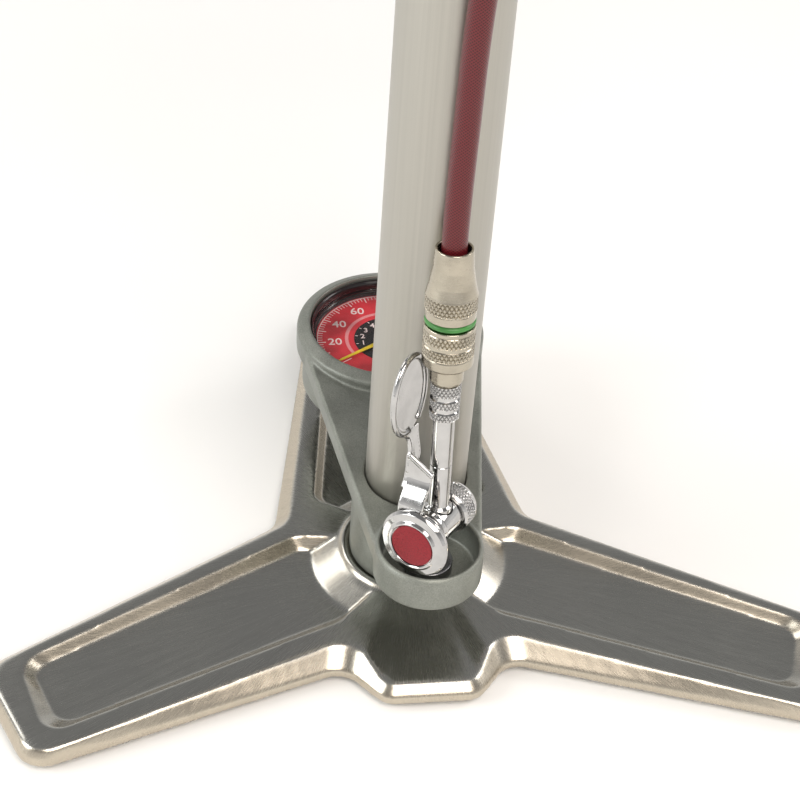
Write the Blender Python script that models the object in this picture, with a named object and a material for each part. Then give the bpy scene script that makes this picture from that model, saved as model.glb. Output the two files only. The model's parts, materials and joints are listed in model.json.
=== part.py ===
"""Floor pump with a cast three-legged base, a gauge set in the body, and a docked lever chuck.

Built with the barrel axis on X = Y = 0, +Z up and the chuck dock towards -Y, then moved so
that the middle of the footprint stands over the origin. Lengths are in millimetres, and MM
turns them into metres.
"""

from math import atan2, cos, hypot, pi, radians, sin, sqrt, tan, tau

import bmesh
import bpy
from mathutils import Matrix, Vector

MM = 0.001
GAP = 0.3

# Driving dimensions
BARREL_R = 19.0
BARREL_BORE_R = 16.5
BARREL_BOTTOM = 42.3
BARREL_TOP = 600.0
ROD_R = 5.0

BASE_UNDERSIDE = 3.0
BASE_EDGE_TOP = 6.3
HUB_TOP = 14.5
HUB_R = 27.7
NECK_R = 23.5

GAUGE_Y = 82.1
GAUGE_CUP_R = 38.2
GAUGE_BORE_R = 32.8
GAUGE_RIM_Z = 60.8
DOCK_Y = -39.0
DOCK_R = 20.0
DOCK_BORE_R = 17.9
DOCK_RIM_Z = 53.2
PLATE_THICKNESS = 9.2
PASSAGE_Z = 33.0
FOOTPRINT_CENTRE_Y = 37.95

CAP_R = 22.5
CAP_TOP = 618.0
HANDLE_Z = 668.0
HANDLE_END = 125.0

PORT_X = 12.0
PORT_Y = 130.0
HOSE_R = 4.35
HOSE_START_Z = 60.3
SADDLE_X = 40.0
SADDLE_Z = 580.0
SADDLE_BEND_R = 35.0

CHUCK_ORIGIN = Vector((2.1, -38.4, 63.8))
COUPLER_TOP = Vector((1.4, -27.0, 175.2))
CROSS_AXIS_HEADING = radians(52.0)

ROUND_STEPS = 36
SMALL_STEPS = 16

PALETTE = {
    "cast_base": ((0.30, 0.29, 0.28), 0.36, 1.0),
    "body_finish": ((0.36, 0.40, 0.35), 0.5, 0.7),
    "barrel_finish": ((0.72, 0.70, 0.66), 0.42, 1.0),
    "chrome": ((0.86, 0.86, 0.87), 0.07, 1.0),
    "warm_nickel": ((0.66, 0.61, 0.52), 0.24, 1.0),
    "steel": ((0.55, 0.55, 0.56), 0.3, 1.0),
    "brass": ((0.72, 0.55, 0.25), 0.32, 1.0),
    "rubber": ((0.03, 0.03, 0.03), 0.8, 0.0),
    "leather": ((0.30, 0.17, 0.09), 0.7, 0.0),
    "wood": ((0.33, 0.14, 0.06), 0.4, 0.0),
    "black_gloss": ((0.015, 0.013, 0.013), 0.12, 0.0),
    "dial_print": ((0.72, 0.05, 0.07), 0.5, 0.0),
    "needle_paint": ((0.90, 0.68, 0.05), 0.4, 0.0),
    "clear_lens": ((0.90, 0.92, 0.92), 0.03, 0.0),
    "red_anodised": ((0.35, 0.02, 0.04), 0.25, 0.8),
    "hose_red": ((0.33, 0.01, 0.02), 0.25, 0.0),
    "green_rubber": ((0.04, 0.33, 0.07), 0.4, 0.0),
    "magnet": ((0.45, 0.45, 0.46), 0.25, 1.0),
}


# ---------------------------------------------------------------- objects and materials

def clear_scene():
    for found in list(bpy.data.objects):
        bpy.data.objects.remove(found, do_unlink=True)


def finish(slot):
    """Principled material for one palette entry, made once."""
    known = bpy.data.materials.get(slot)
    if known:
        return known
    colour, roughness, metallic = PALETTE[slot]
    made = bpy.data.materials.new(slot)
    made.use_nodes = True
    shader = made.node_tree.nodes["Principled BSDF"]
    shader.inputs["Base Color"].default_value = (*colour, 1.0)
    shader.inputs["Roughness"].default_value = roughness
    shader.inputs["Metallic"].default_value = metallic
    return made


def frame(origin=(0, 0, 0), x_axis=(1, 0, 0), z_axis=(0, 0, 1)):
    """World matrix of a frame given in millimetres by its origin and two of its axes."""
    z = Vector(z_axis).normalized()
    x = Vector(x_axis)
    x = (x - x.dot(z) * z).normalized()
    y = z.cross(x)
    turned = Matrix((x, y, z)).transposed().to_4x4()
    return Matrix.Translation(Vector(origin) * MM) @ turned


def add_solid(name, bm, slot, place=None, crease=35.0):
    """Object made from a closed bmesh, standing at a world matrix."""
    bmesh.ops.recalc_face_normals(bm, faces=bm.faces)
    mesh = bpy.data.meshes.new(name)
    bm.to_mesh(mesh)
    bm.free()
    mesh.shade_smooth()
    mesh.set_sharp_from_angle(angle=radians(crease))
    mesh.materials.append(finish(slot))
    made = bpy.data.objects.new(name, mesh)
    bpy.context.collection.objects.link(made)
    made.matrix_world = place if place is not None else Matrix.Identity(4)
    return made


def combine(target, bm, operation, place=None):
    """Boolean modifier on target, with a hidden tool object made from the bmesh."""
    count = sum(1 for m in target.modifiers if m.type == "BOOLEAN")
    tool_name = f"tool_{target.name}_{count}"
    tool = add_solid(tool_name, bm, "steel", place)
    tool.hide_render = True
    tool.display_type = "WIRE"
    modifier = target.modifiers.new(f"{operation.lower()}_{count}", "BOOLEAN")
    modifier.operation = operation
    modifier.object = tool
    return target


# ---------------------------------------------------------------- shape builders

def lathe(profile, steps=ROUND_STEPS):
    """Solid of revolution about local Z from (radius, height) points.

    A profile that starts at radius 0 is left open along the axis; any other is closed.
    """
    bm = bmesh.new()
    verts = [bm.verts.new((r * MM, 0.0, z * MM)) for r, z in profile]
    edges = [bm.edges.new(pair) for pair in zip(verts, verts[1:])]
    if profile[0][0] > 0:
        edges.append(bm.edges.new((verts[-1], verts[0])))
    bmesh.ops.spin(bm, geom=verts + edges, cent=(0, 0, 0), axis=(0, 0, 1),
                   angle=tau, steps=steps, use_merge=True)
    bmesh.ops.remove_doubles(bm, verts=bm.verts, dist=1e-6)
    return bm


def rod(radius, low, high, bevel=0.0, steps=ROUND_STEPS):
    """Plain cylinder between two heights, with bevelled ends when asked."""
    if not bevel:
        return lathe([(0, low), (radius, low), (radius, high), (0, high)], steps)
    return lathe([(0, low), (radius - bevel, low), (radius, low + bevel),
                  (radius, high - bevel), (radius - bevel, high), (0, high)], steps)


def washer(inner, outer, low, high, bevel=0.0, steps=ROUND_STEPS):
    """Flat ring between two radii and two heights."""
    if not bevel:
        return lathe([(inner, low), (outer, low), (outer, high), (inner, high)], steps)
    return lathe([(inner, low), (outer - bevel, low), (outer, low + bevel),
                  (outer, high - bevel), (outer - bevel, high), (inner, high)], steps)


def loft(rings, closed_path=False):
    """Skin through rings of equal point count; open paths get flat end caps."""
    bm = bmesh.new()
    rows = [[bm.verts.new(Vector(p) * MM) for p in ring] for ring in rings]
    count = len(rows[0])
    pairs = list(zip(rows, rows[1:]))
    if closed_path:
        pairs.append((rows[-1], rows[0]))
    for low, high in pairs:
        for i in range(count):
            j = (i + 1) % count
            bm.faces.new((low[i], low[j], high[j], high[i]))
    if not closed_path:
        bm.faces.new(rows[0][::-1])
        bm.faces.new(rows[-1])
    return bm


def box(x, y, z):
    """Box from three (low, high) pairs."""
    corners = [(x[0], y[0]), (x[1], y[0]), (x[1], y[1]), (x[0], y[1])]
    return loft([[(a, b, h) for a, b in corners] for h in z])


def hexagon(across_flats, low, high):
    radius = across_flats / sqrt(3)
    corners = [(radius * cos(k * pi / 3), radius * sin(k * pi / 3)) for k in range(6)]
    return loft([[(a, b, h) for a, b in corners] for h in (low, high)])


def towards(start, end, share):
    """Point of a straight edge that lies at a share of the angle seen from the origin."""
    a, b = Vector(start[:2]), Vector(end[:2])
    turn = a.angle_signed(b) * share
    along = b - a
    ray = Matrix.Rotation(-turn, 2) @ a
    t = (a.y * ray.x - a.x * ray.y) / (along.x * ray.y - along.y * ray.x)
    return (a.x + along.x * t, a.y + along.y * t, start[2] + (end[2] - start[2]) * t)


def rounded_outline(corners, arc_points=4, edge_points=4):
    """Closed outline through (x, y, height, radius) corners, each rounded by an arc.

    Every corner gives arc_points and every edge edge_points, so two outlines with the
    same number of corners have matching points.
    """
    count = len(corners)
    arcs = []
    for i, (x, y, height, radius) in enumerate(corners):
        here = Vector((x, y))
        before = (Vector(corners[i - 1][:2]) - here).normalized()
        after = (Vector(corners[(i + 1) % count][:2]) - here).normalized()
        half = before.angle(after) / 2
        centre = here + (before + after).normalized() * (radius / sin(half))
        start = here + before * (radius / tan(half))
        end = here + after * (start - here).length
        a0 = atan2(*(start - centre).yx)
        sweep = (atan2(*(end - centre).yx) - a0 + pi) % tau - pi
        arcs.append([(centre.x + radius * cos(a0 + sweep * k / (arc_points - 1)),
                      centre.y + radius * sin(a0 + sweep * k / (arc_points - 1)),
                      height) for k in range(arc_points)])
    points = []
    for i, arc in enumerate(arcs):
        points += arc
        following = arcs[(i + 1) % count][0]
        for k in range(1, edge_points + 1):
            points.append(towards(arc[-1], following, k / (edge_points + 1)))
    return points


def mirrored(half):
    """Left-hand corners followed by their mirror images, in order round the outline."""
    return half + [(-c[0], *c[1:]) for c in reversed(half)]


def smooth_path(route, spacing):
    """Points about spacing apart on a smooth curve through the route's points."""
    knots = [Vector(p) for p in route]
    knots = [2 * knots[0] - knots[1]] + knots + [2 * knots[-1] - knots[-2]]
    dense = []
    for a, b, c, d in zip(knots, knots[1:], knots[2:], knots[3:]):
        for k in range(24):
            t = k / 24
            dense.append(0.5 * (2 * b + (c - a) * t + (2 * a - 5 * b + 4 * c - d) * t * t
                                + (3 * b - a - 3 * c + d) * t ** 3))
    dense.append(knots[-2])
    length = sum((q - p).length for p, q in zip(dense, dense[1:]))
    count = round(length / spacing)
    points = [dense[0]]
    travelled, target = 0.0, length / count
    for p, q in zip(dense, dense[1:]):
        step = (q - p).length
        while travelled + step >= target and len(points) < count:
            points.append(p.lerp(q, (target - travelled) / step))
            target += length / count
        travelled += step
    points.append(dense[-1])
    return points, length


def tube_object(name, points, radius, slot, resolution=2):
    """Round tube along points as a curve with filled caps."""
    curve = bpy.data.curves.new(name, "CURVE")
    curve.dimensions = "3D"
    curve.bevel_depth = radius * MM
    curve.bevel_resolution = resolution
    curve.use_fill_caps = True
    spline = curve.splines.new("POLY")
    spline.points.add(len(points) - 1)
    for point, place in zip(spline.points, points):
        point.co = (*(Vector(place) * MM), 1.0)
    curve.materials.append(finish(slot))
    made = bpy.data.objects.new(name, curve)
    bpy.context.collection.objects.link(made)
    return made


# ---------------------------------------------------------------- cast base

TIP_CREASE = 10.4
HUB_CREASE = 12.8
LOBE_CREASE = 10.2

CREASE_HALF = [
    (-16.0, -67.6, LOBE_CREASE, 6.0),
    (-27.5, -45.7, HUB_CREASE, 11.0),
    (-143.1, -92.1, TIP_CREASE, 10.0),
    (-160.9, -50.2, TIP_CREASE, 12.0),
    (-45.5, 17.2, HUB_CREASE, 12.0),
    (-21.2, 163.0, TIP_CREASE, 10.0),
]
EDGE_HALF = [
    (-17.5, -71.5, BASE_EDGE_TOP, 8.0),
    (-31.0, -54.8, BASE_EDGE_TOP, 10.0),
    (-145.2, -94.0, BASE_EDGE_TOP, 11.0),
    (-164.9, -47.8, BASE_EDGE_TOP, 14.0),
    (-51.0, 21.7, BASE_EDGE_TOP, 10.0),
    (-24.3, 167.0, BASE_EDGE_TOP, 12.0),
]
BOLT_Z = 10.3
PAD_SPOTS = {"left": (-138.0, -68.0), "right": (138.0, -68.0), "back": (0.0, 146.0)}
PAD_R = 12.0


def circle_matching(outline, radius, height):
    """Circle about the origin with one point straight inwards of each outline point."""
    return [(radius * x / hypot(x, y), radius * y / hypot(x, y), height)
            for x, y, _ in outline]


def between(ring_a, ring_b, share):
    return [tuple(a + (b - a) * share for a, b in zip(p, q)) for p, q in zip(ring_a, ring_b)]


def pocket(tip_top, tip_floor, side_top, side_floor, inner_top, inner_floor, steps=8):
    """Cutter for one leg's recess: a flat floor, sloped walls and a cone at the hub.

    The hub end runs from the far side (index 0) to the near side (index 1). Each ring is
    listed far tip, far side, far corner, cone arc, near corner, near side, near tip.
    """
    floor_z, top_z, lift = 7.2, 14.2, 12.0

    def arc(ends, radius, height):
        angles = [atan2(p[1], p[0]) % tau for p in ends]
        sweep = (angles[1] - angles[0] + pi) % tau - pi
        return [(radius * cos(angles[0] + sweep * k / steps),
                 radius * sin(angles[0] + sweep * k / steps), height)
                for k in range(steps + 1)]

    floor = [(*tip_floor[0], 6.5), (*side_floor[0], floor_z)]
    floor += arc(inner_floor, 38.5, 8.0)
    floor += [(*side_floor[1], floor_z), (*tip_floor[1], 6.5)]
    top = [(*tip_top[0], 11.0), (*side_top[0], 12.5)]
    top += arc(inner_top, HUB_R + 0.1, top_z + 0.4)
    top += [(*side_top[1], 12.5), (*tip_top[1], 11.0)]
    above = [(x, y, z + lift) for x, y, z in top]
    return loft([floor, top, above])


def front_pocket(side):
    """Recess of the left (side 1) or right (side -1) front leg."""
    tip_top = [(-149.8, -47.3), (-140.0, -83.3)]
    tip_floor = [(-144.0, -48.4), (-133.5, -75.4)]
    side_top = [(-44.5, 9.2), (-31.4, -37.4)]
    side_floor = [(-42.5, 5.6), (-31.0, -31.5)]
    inner_top = [(-26.4, 7.6), (-15.6, -22.6)]
    inner_floor = [(-37.9, 6.0), (-25.8, -28.4)]
    groups = [tip_top, tip_floor, side_top, side_floor, inner_top, inner_floor]
    return pocket(*[[(side * x, y) for x, y in pair] for pair in groups])


def back_pocket():
    tip_top = [(-17.0, 155.0), (17.0, 155.0)]
    tip_floor = [(-14.5, 147.0), (14.5, 147.0)]
    side_top = [(-34.5, 31.0), (34.5, 31.0)]
    side_floor = [(-31.0, 34.0), (31.0, 34.0)]
    inner_top = [(-19.0, 20.0), (19.0, 20.0)]
    inner_floor = [(-26.0, 28.4), (26.0, 28.4)]
    return pocket(tip_top, tip_floor, side_top, side_floor, inner_top, inner_floor)


def build_base():
    crease = rounded_outline(mirrored(CREASE_HALF))
    edge = rounded_outline(mirrored(EDGE_HALF))
    underside = [(x, y, BASE_UNDERSIDE) for x, y, _ in edge]
    hub = circle_matching(edge, HUB_R, HUB_TOP - 0.3)
    counterbore = circle_matching(edge, 9.6, BASE_UNDERSIDE)
    rings = [
        underside, edge, crease, between(crease, hub, 0.35), between(crease, hub, 0.7),
        hub,
        circle_matching(edge, 26.2, HUB_TOP + 1.6),
        circle_matching(edge, 24.7, HUB_TOP + 1.6),
        circle_matching(edge, 24.2, HUB_TOP),
        circle_matching(edge, ROD_R + GAP, HUB_TOP),
        circle_matching(edge, ROD_R + GAP, BOLT_Z),
        circle_matching(edge, 9.6, BOLT_Z),
        counterbore, between(counterbore, underside, 0.4),
    ]
    base = add_solid("base_casting", loft(rings, closed_path=True), "cast_base")
    combine(base, front_pocket(1), "DIFFERENCE")
    combine(base, front_pocket(-1), "DIFFERENCE")
    combine(base, back_pocket(), "DIFFERENCE")
    for side, (x, y) in PAD_SPOTS.items():
        place = frame((x, y, 0))
        add_solid(f"foot_pad_{side}", rod(PAD_R, 0, BASE_UNDERSIDE - GAP, 0.6, SMALL_STEPS),
                  "rubber", place)
    shank_top = 22.5
    bolt = lathe([(0, 3.6), (7.4, 3.6), (8.0, 4.2), (8.0, 8.7), (ROD_R, 8.7),
                  (ROD_R, shank_top - 0.8), (ROD_R - 0.8, shank_top), (0, shank_top)],
                 SMALL_STEPS)
    bolt = add_solid("base_bolt", bolt, "steel")
    combine(bolt, hexagon(8.0, 2.0, 6.8), "DIFFERENCE")
    add_solid("base_washer", washer(ROD_R + GAP, 9.0, 9.0, BOLT_Z - GAP, 0, SMALL_STEPS),
              "steel")


# ---------------------------------------------------------------- body casting

def plate_top(y):
    """Height of the body's sloping top face, level under the gauge ring."""
    return min(53.3 + 0.071 * (y + 12.0), 57.3)


def teardrop(inset, height_of, steps=16):
    """Hull of the gauge and dock circles, inset sideways, with a height for each y."""
    big, small = GAUGE_CUP_R - 0.7 - inset, DOCK_R - 0.7 - inset
    tangent = pi / 2 - sin_inverse((big - small) / (GAUGE_Y - DOCK_Y))
    ring = []
    for k in range(steps + 1):
        turn = -pi / 2 + (pi - tangent) * (2 * k / steps - 1) + pi
        ring.append((big * cos(turn), GAUGE_Y + big * sin(turn)))
    for k in range(steps + 1):
        turn = -pi / 2 + tangent * (2 * k / steps - 1)
        ring.append((small * cos(turn), DOCK_Y + small * sin(turn)))
    return [(x, y, height_of(y)) for x, y in ring]


def sin_inverse(value):
    return atan2(value, sqrt(1 - value * value))


def build_body():
    def low(y):
        return plate_top(y) - PLATE_THICKNESS

    plate = loft([teardrop(0.8, low), teardrop(0.0, lambda y: low(y) + 0.8),
                  teardrop(0.0, lambda y: plate_top(y) - 0.8), teardrop(0.8, plate_top)])
    body = add_solid("body_casting", plate, "body_finish")
    at_gauge = frame((0, GAUGE_Y, 0))
    at_dock = frame((0, DOCK_Y, 0))
    gauge_outer = [(0, 30.0), (33.2, 30.0), (35.3, 32.1), (35.3, 46.0), (GAUGE_CUP_R, 49.4),
                   (GAUGE_CUP_R, 58.5), (33.1, GAUGE_RIM_Z), (0, GAUGE_RIM_Z)]
    combine(body, lathe(gauge_outer, 48), "UNION", at_gauge)
    dock_outer = [(0, 38.0), (18.8, 38.0), (DOCK_R, 39.2), (DOCK_R, DOCK_RIM_Z - 2.0),
                  (DOCK_R - 1.9, DOCK_RIM_Z), (0, DOCK_RIM_Z)]
    combine(body, lathe(dock_outer), "UNION", at_dock)
    combine(body, lathe([(0, HUB_TOP + GAP), (NECK_R - 0.5, HUB_TOP + GAP),
                         (NECK_R, HUB_TOP + 0.8), (NECK_R, 49.0), (0, 49.0)]), "UNION")
    combine(body, box((-8, 8), (15, 56), (28, 50)), "UNION")
    port_frame = frame((PORT_X, 0, PASSAGE_Z + 4.6), (1, 0, 0), (0, 1, 0))
    combine(body, rod(7.4, 106, PORT_Y - 8.7, 0, SMALL_STEPS), "UNION", port_frame)
    gauge_hole = [(0, 36.0), (GAUGE_BORE_R, 36.0), (GAUGE_BORE_R, 75.0), (0, 75.0)]
    combine(body, lathe(gauge_hole, 48), "DIFFERENCE", at_gauge)
    combine(body, rod(DOCK_BORE_R, 41.0, 75.0), "DIFFERENCE", at_dock)
    combine(body, rod(BARREL_R + GAP, BARREL_BOTTOM - GAP, 75.0), "DIFFERENCE")
    combine(body, rod(8.3, 24.5, 50.0, 0, SMALL_STEPS), "DIFFERENCE")
    combine(body, rod(ROD_R + GAP, 5.0, 22.9, 0, SMALL_STEPS), "DIFFERENCE")
    passage = rod(1.6, 2.0, PORT_Y + 10, 0, 12)
    along_passage = frame((0, 0, PASSAGE_Z), (0, 0, -1), (PORT_X, PORT_Y, 0))
    combine(body, passage, "DIFFERENCE", along_passage)
    combine(body, rod(3.3, PASSAGE_Z, 40.0, 0, 16), "DIFFERENCE", frame(STEM_FOOT))
    add_solid("dock_magnet", rod(9.0, 41.0 + GAP, 45.5, 0.5, SMALL_STEPS), "magnet", at_dock)


# ---------------------------------------------------------------- barrel, valve, piston, cap

def build_valve():
    seat_low, ball_r, hole_r = 35.0, 3.4, 2.4
    ball_z = seat_low - sqrt(ball_r ** 2 - hole_r ** 2) - GAP
    seat = [(hole_r, seat_low), (8.0, seat_low), (8.0, 41.0), (7.0, BARREL_BOTTOM - 0.7),
            (hole_r, BARREL_BOTTOM - 0.7)]
    add_solid("valve_seat", lathe(seat, SMALL_STEPS), "brass")
    ball = bmesh.new()
    bmesh.ops.create_icosphere(ball, subdivisions=2, radius=ball_r * MM)
    add_solid("valve_ball", ball, "steel", frame((0, 0, ball_z)))
    coil_r, wire_r, turns, foot = 3.2, 0.45, 3.0, 25.3
    top = ball_z - 2.2
    steps = int(turns * 12)
    coil = [(coil_r * cos(tau * turns * k / steps), coil_r * sin(tau * turns * k / steps),
             foot + (top - foot) * k / steps) for k in range(steps + 1)]
    tube_object("valve_spring", coil, wire_r, "steel", 1)


def build_barrel():
    bore = BARREL_BORE_R
    tube = [(bore, BARREL_BOTTOM), (BARREL_R - 0.5, BARREL_BOTTOM),
            (BARREL_R, BARREL_BOTTOM + 0.5), (BARREL_R, BARREL_TOP - 0.5),
            (BARREL_R - 0.5, BARREL_TOP), (bore, BARREL_TOP)]
    add_solid("barrel_tube", lathe(tube, 48), "barrel_finish")


def build_cap():
    skirt_low = BARREL_TOP - 16
    bush_r = 8.3
    cap = [(BARREL_R + GAP, skirt_low), (CAP_R - 0.8, skirt_low), (CAP_R, skirt_low + 0.8),
           (CAP_R, CAP_TOP - 5), (CAP_R - 5, CAP_TOP), (bush_r, CAP_TOP),
           (bush_r, BARREL_TOP + GAP), (BARREL_R + GAP, BARREL_TOP + GAP)]
    add_solid("top_cap", lathe(cap), "body_finish")
    add_solid("rod_bush", washer(ROD_R + GAP, 8.0, BARREL_TOP + 1.0, CAP_TOP - 3.4,
                                 0.4, SMALL_STEPS), "brass")
    add_solid("rod_wiper", washer(ROD_R + GAP, 8.0, CAP_TOP - 3.1, CAP_TOP + 0.8,
                                  0.5, SMALL_STEPS), "rubber")


def build_saddle():
    """Bracket on the cap that carries the hose over in a channel."""
    hub = washer(CAP_R + GAP, CAP_R + 4.0, 588.0, 600.0, 0.6)
    saddle = add_solid("hose_saddle", hub, "body_finish")
    combine(saddle, box((25.5, SADDLE_X), (-5, 5), (589, 607.5)), "UNION")
    floor_r = SADDLE_BEND_R - HOSE_R - 1.7
    section = [(-6.5, floor_r - 3), (6.5, floor_r - 3), (6.5, floor_r + 3.2),
               (4.9, floor_r + 3.2), (4.9, floor_r), (-4.9, floor_r),
               (-4.9, floor_r + 3.2), (-6.5, floor_r + 3.2)]
    rings = []
    for k in range(17):
        turn = radians(12 + 156 * k / 16)
        rings.append([(SADDLE_X + across, radius * cos(turn), SADDLE_Z + radius * sin(turn))
                      for across, radius in section])
    combine(saddle, loft(rings), "UNION")


def build_piston():
    hole = ROD_R + GAP
    wall = BARREL_BORE_R - GAP
    spindle = [(0, 44.0), (ROD_R - 0.6, 44.0), (ROD_R, 44.6), (ROD_R, HANDLE_Z + 3.4),
               (ROD_R - 0.6, HANDLE_Z + 4.0), (0, HANDLE_Z + 4.0)]
    add_solid("piston_rod", lathe(spindle, SMALL_STEPS), "chrome")
    nut = add_solid("piston_nut", hexagon(13.0, 45.0, 50.0), "steel")
    combine(nut, rod(hole, 40.0, 55.0, 0, SMALL_STEPS), "DIFFERENCE")
    add_solid("piston_washer", washer(hole, 12.0, 50.3, 51.8, 0, SMALL_STEPS), "steel")
    cup = [(hole, 52.1), (wall - 1.2, 52.1), (wall, 53.6), (wall, 60.0), (wall - 2.0, 60.0),
           (wall - 2.4, 55.0), (hole, 55.0)]
    add_solid("piston_cup", lathe(cup, 24), "leather")
    head = [(hole, 55.3), (wall - 3.2, 55.3), (wall - 3.2, 60.3), (wall - 0.2, 60.3),
            (wall - 0.2, 70.0), (wall - 1.2, 71.0), (hole, 71.0)]
    add_solid("piston_head", lathe(head, 24), "brass")


def build_handle():
    hub_low = CAP_TOP + 10.0
    add_solid("rod_bumper", washer(ROD_R + GAP, 11.0, CAP_TOP + 1.4, hub_low - GAP, 1.5,
                                   SMALL_STEPS), "rubber")
    hub_r, hub_half = 14.0, 25.0
    tee = lathe([(0, -hub_half), (hub_r - 1, -hub_half), (hub_r, 1 - hub_half),
                 (hub_r, hub_half - 1), (hub_r - 1, hub_half), (0, hub_half)], 24)
    along_x = frame((0, 0, HANDLE_Z), (0, 1, 0), (1, 0, 0))
    hub = add_solid("handle_hub", tee, "barrel_finish", along_x)
    combine(hub, lathe([(0, hub_low), (10.5, hub_low), (11.5, hub_low + 1), (11.5, HANDLE_Z),
                        (0, HANDLE_Z)], 20), "UNION")
    combine(hub, rod(ROD_R + GAP, 600.0, HANDLE_Z + 4.0 + GAP, 0, SMALL_STEPS), "DIFFERENCE")
    for sign in (-1, 1):
        side_frame = frame((0, 0, HANDLE_Z), (0, 1, 0), (sign, 0, 0))
        combine(hub, rod(4.3, 13.0, 40.0, 0, SMALL_STEPS), "DIFFERENCE", side_frame)
    grub_frame = frame((0, 0, 638.0), (1, 0, 0), (0, 1, 0))
    combine(hub, rod(2.8, 4.0, 20.0, 0, 16), "DIFFERENCE", grub_frame)
    add_solid("handle_grub_screw", rod(2.5, ROD_R + GAP, 11.0, 0.3, 16), "steel", grub_frame)
    grip = [(4.3, 25.3), (13.6, 25.3), (14.4, 27.5), (13.6, 33.0), (15.2, 48.0),
            (16.8, 68.0), (16.9, 84.0), (15.6, 100.0), (13.6, 112.0), (14.2, 119.0),
            (13.4, HANDLE_END - 1.0), (4.3, HANDLE_END - 1.0)]
    cap = [(4.3, HANDLE_END - 0.7), (12.8, HANDLE_END - 0.7), (12.8, HANDLE_END + 1.6),
           (9.5, HANDLE_END + 4.0), (7.9, HANDLE_END + 4.0), (7.9, HANDLE_END + 1.4),
           (4.3, HANDLE_END + 1.4)]
    stud = [(0, 13.4), (4.0, 13.4), (4.0, HANDLE_END + 1.7), (7.0, HANDLE_END + 1.7),
            (7.0, HANDLE_END + 4.4), (5.5, HANDLE_END + 5.6), (0, HANDLE_END + 5.6)]
    for sign, side in ((-1, "left"), (1, "right")):
        place = frame((0, 0, HANDLE_Z), (0, 1, 0), (sign, 0, 0))
        add_solid(f"handle_grip_{side}", lathe(grip, 24), "wood", place)
        add_solid(f"handle_end_cap_{side}", lathe(cap, 20), "barrel_finish", place)
        add_solid(f"handle_bolt_{side}", lathe(stud, SMALL_STEPS), "steel", place)


# ---------------------------------------------------------------- gauge

DIAL_Z = 52.2
ZERO_ANGLE = radians(212.0)
STEM_FOOT = (PORT_X * (GAUGE_Y - 19.5) / PORT_Y, GAUGE_Y - 19.5, 0)


def build_gauge():
    at = frame((0, GAUGE_Y, 0))
    can_r = GAUGE_BORE_R - GAP
    can = add_solid("gauge_can", lathe([(0, 36.3), (can_r, 36.3), (can_r, 52.0),
                                        (can_r - 1.2, 52.0), (can_r - 1.2, 37.5),
                                        (0, 37.5)], 32), "steel", at)
    stem_place = frame(STEM_FOOT)
    combine(can, rod(3.3, 30, 42, 0, 16), "DIFFERENCE", stem_place)
    add_solid("gauge_dial", washer(1.4, 30.9, DIAL_Z - 0.8, DIAL_Z, 0), "dial_print", at)
    bezel = [(30.15, 52.5), (can_r, 52.5), (can_r, 58.6), (can_r - 0.5, 59.2),
             (32.0, 59.2), (31.4, 58.2), (31.4, 55.0), (30.15, 54.4)]
    add_solid("gauge_bezel", lathe(bezel), "black_gloss", at)
    add_solid("gauge_lens", rod(31.1, 55.3, 57.0, 0.3), "clear_lens", at)
    tapered = [(-7.0, 1.3), (-7.0, -1.3), (2.0, -1.0), (25.6, -0.55), (26.4, 0.0),
               (25.6, 0.55), (2.0, 1.0)]
    turned = frame((0, GAUGE_Y, 0), (cos(ZERO_ANGLE), sin(ZERO_ANGLE), 0))
    hand = loft([[(x, y, z) for x, y in tapered] for z in (53.0, 53.5)])
    needle = add_solid("gauge_needle", hand, "needle_paint", turned)
    combine(needle, rod(2.4, 53.0, 53.5, 0, 16), "UNION", at)
    combine(needle, rod(1.1, 50, 56, 0, 12), "DIFFERENCE", at)
    spindle = [(0, 37.8), (0.8, 37.8), (0.8, 42.6), (2.4, 42.6), (2.4, 44.6), (0.8, 44.6),
               (0.8, 53.8), (2.8, 53.8), (2.8, 54.4), (2.0, 54.9), (0, 54.9)]
    add_solid("gauge_spindle", lathe(spindle, 16), "black_gloss", at)
    plate = add_solid("gauge_frame", box((-13, 13), (-14, 10), (46.0, 47.2)), "brass", at)
    combine(plate, rod(1.1, 40, 50, 0, 12), "DIFFERENCE", at)
    build_gauge_movement()
    add_solid("gauge_stem", rod(3.0, PASSAGE_Z + GAP, 48.0, 0, 16), "brass", stem_place)


def build_gauge_movement():
    """Sector beside the pinion, and the curved pressure tube round both.

    At rest the pinion stands at one end of the sector's rim, which turns past it.
    """
    pivot, reach = Vector((-9.0, 6.0)), 8.1
    meeting = atan2(-pivot.y, -pivot.x)
    points = []
    for k in range(13):
        turn = meeting + radians(-80 + 86 * k / 12)
        points.append((reach * cos(turn), reach * sin(turn)))
    for turn in (1.2, 1.9, 2.6, 3.3):
        points.append((2.0 * cos(meeting + turn), 2.0 * sin(meeting + turn)))
    sector = loft([[(x, y, z) for x, y in points] for z in (43.0, 44.2)])
    place = frame((pivot.x, GAUGE_Y + pivot.y, 0))
    sector = add_solid("gauge_sector", sector, "brass", place)
    combine(sector, rod(0.9, 40, 50, 0, 12), "DIFFERENCE", place)
    add_solid("gauge_sector_pin", rod(0.6, 37.8, 45.6, 0, 12), "steel", place)
    arc = [(24.0 * cos(radians(-59 + 292 * k / 34)),
            GAUGE_Y + 24.0 * sin(radians(-59 + 292 * k / 34)), 43.5) for k in range(35)]
    tube_object("bourdon_tube", arc, 2.2, "brass", 2)


# ---------------------------------------------------------------- hose, coupler, chuck

def chuck_frame():
    """Frame of the docked chuck: X along its cross axis, Z up its stem."""
    up = (COUPLER_TOP - CHUCK_ORIGIN).normalized()
    across = Vector((cos(CROSS_AXIS_HEADING), sin(CROSS_AXIS_HEADING), 0))
    return frame(CHUCK_ORIGIN, across, up)


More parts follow.
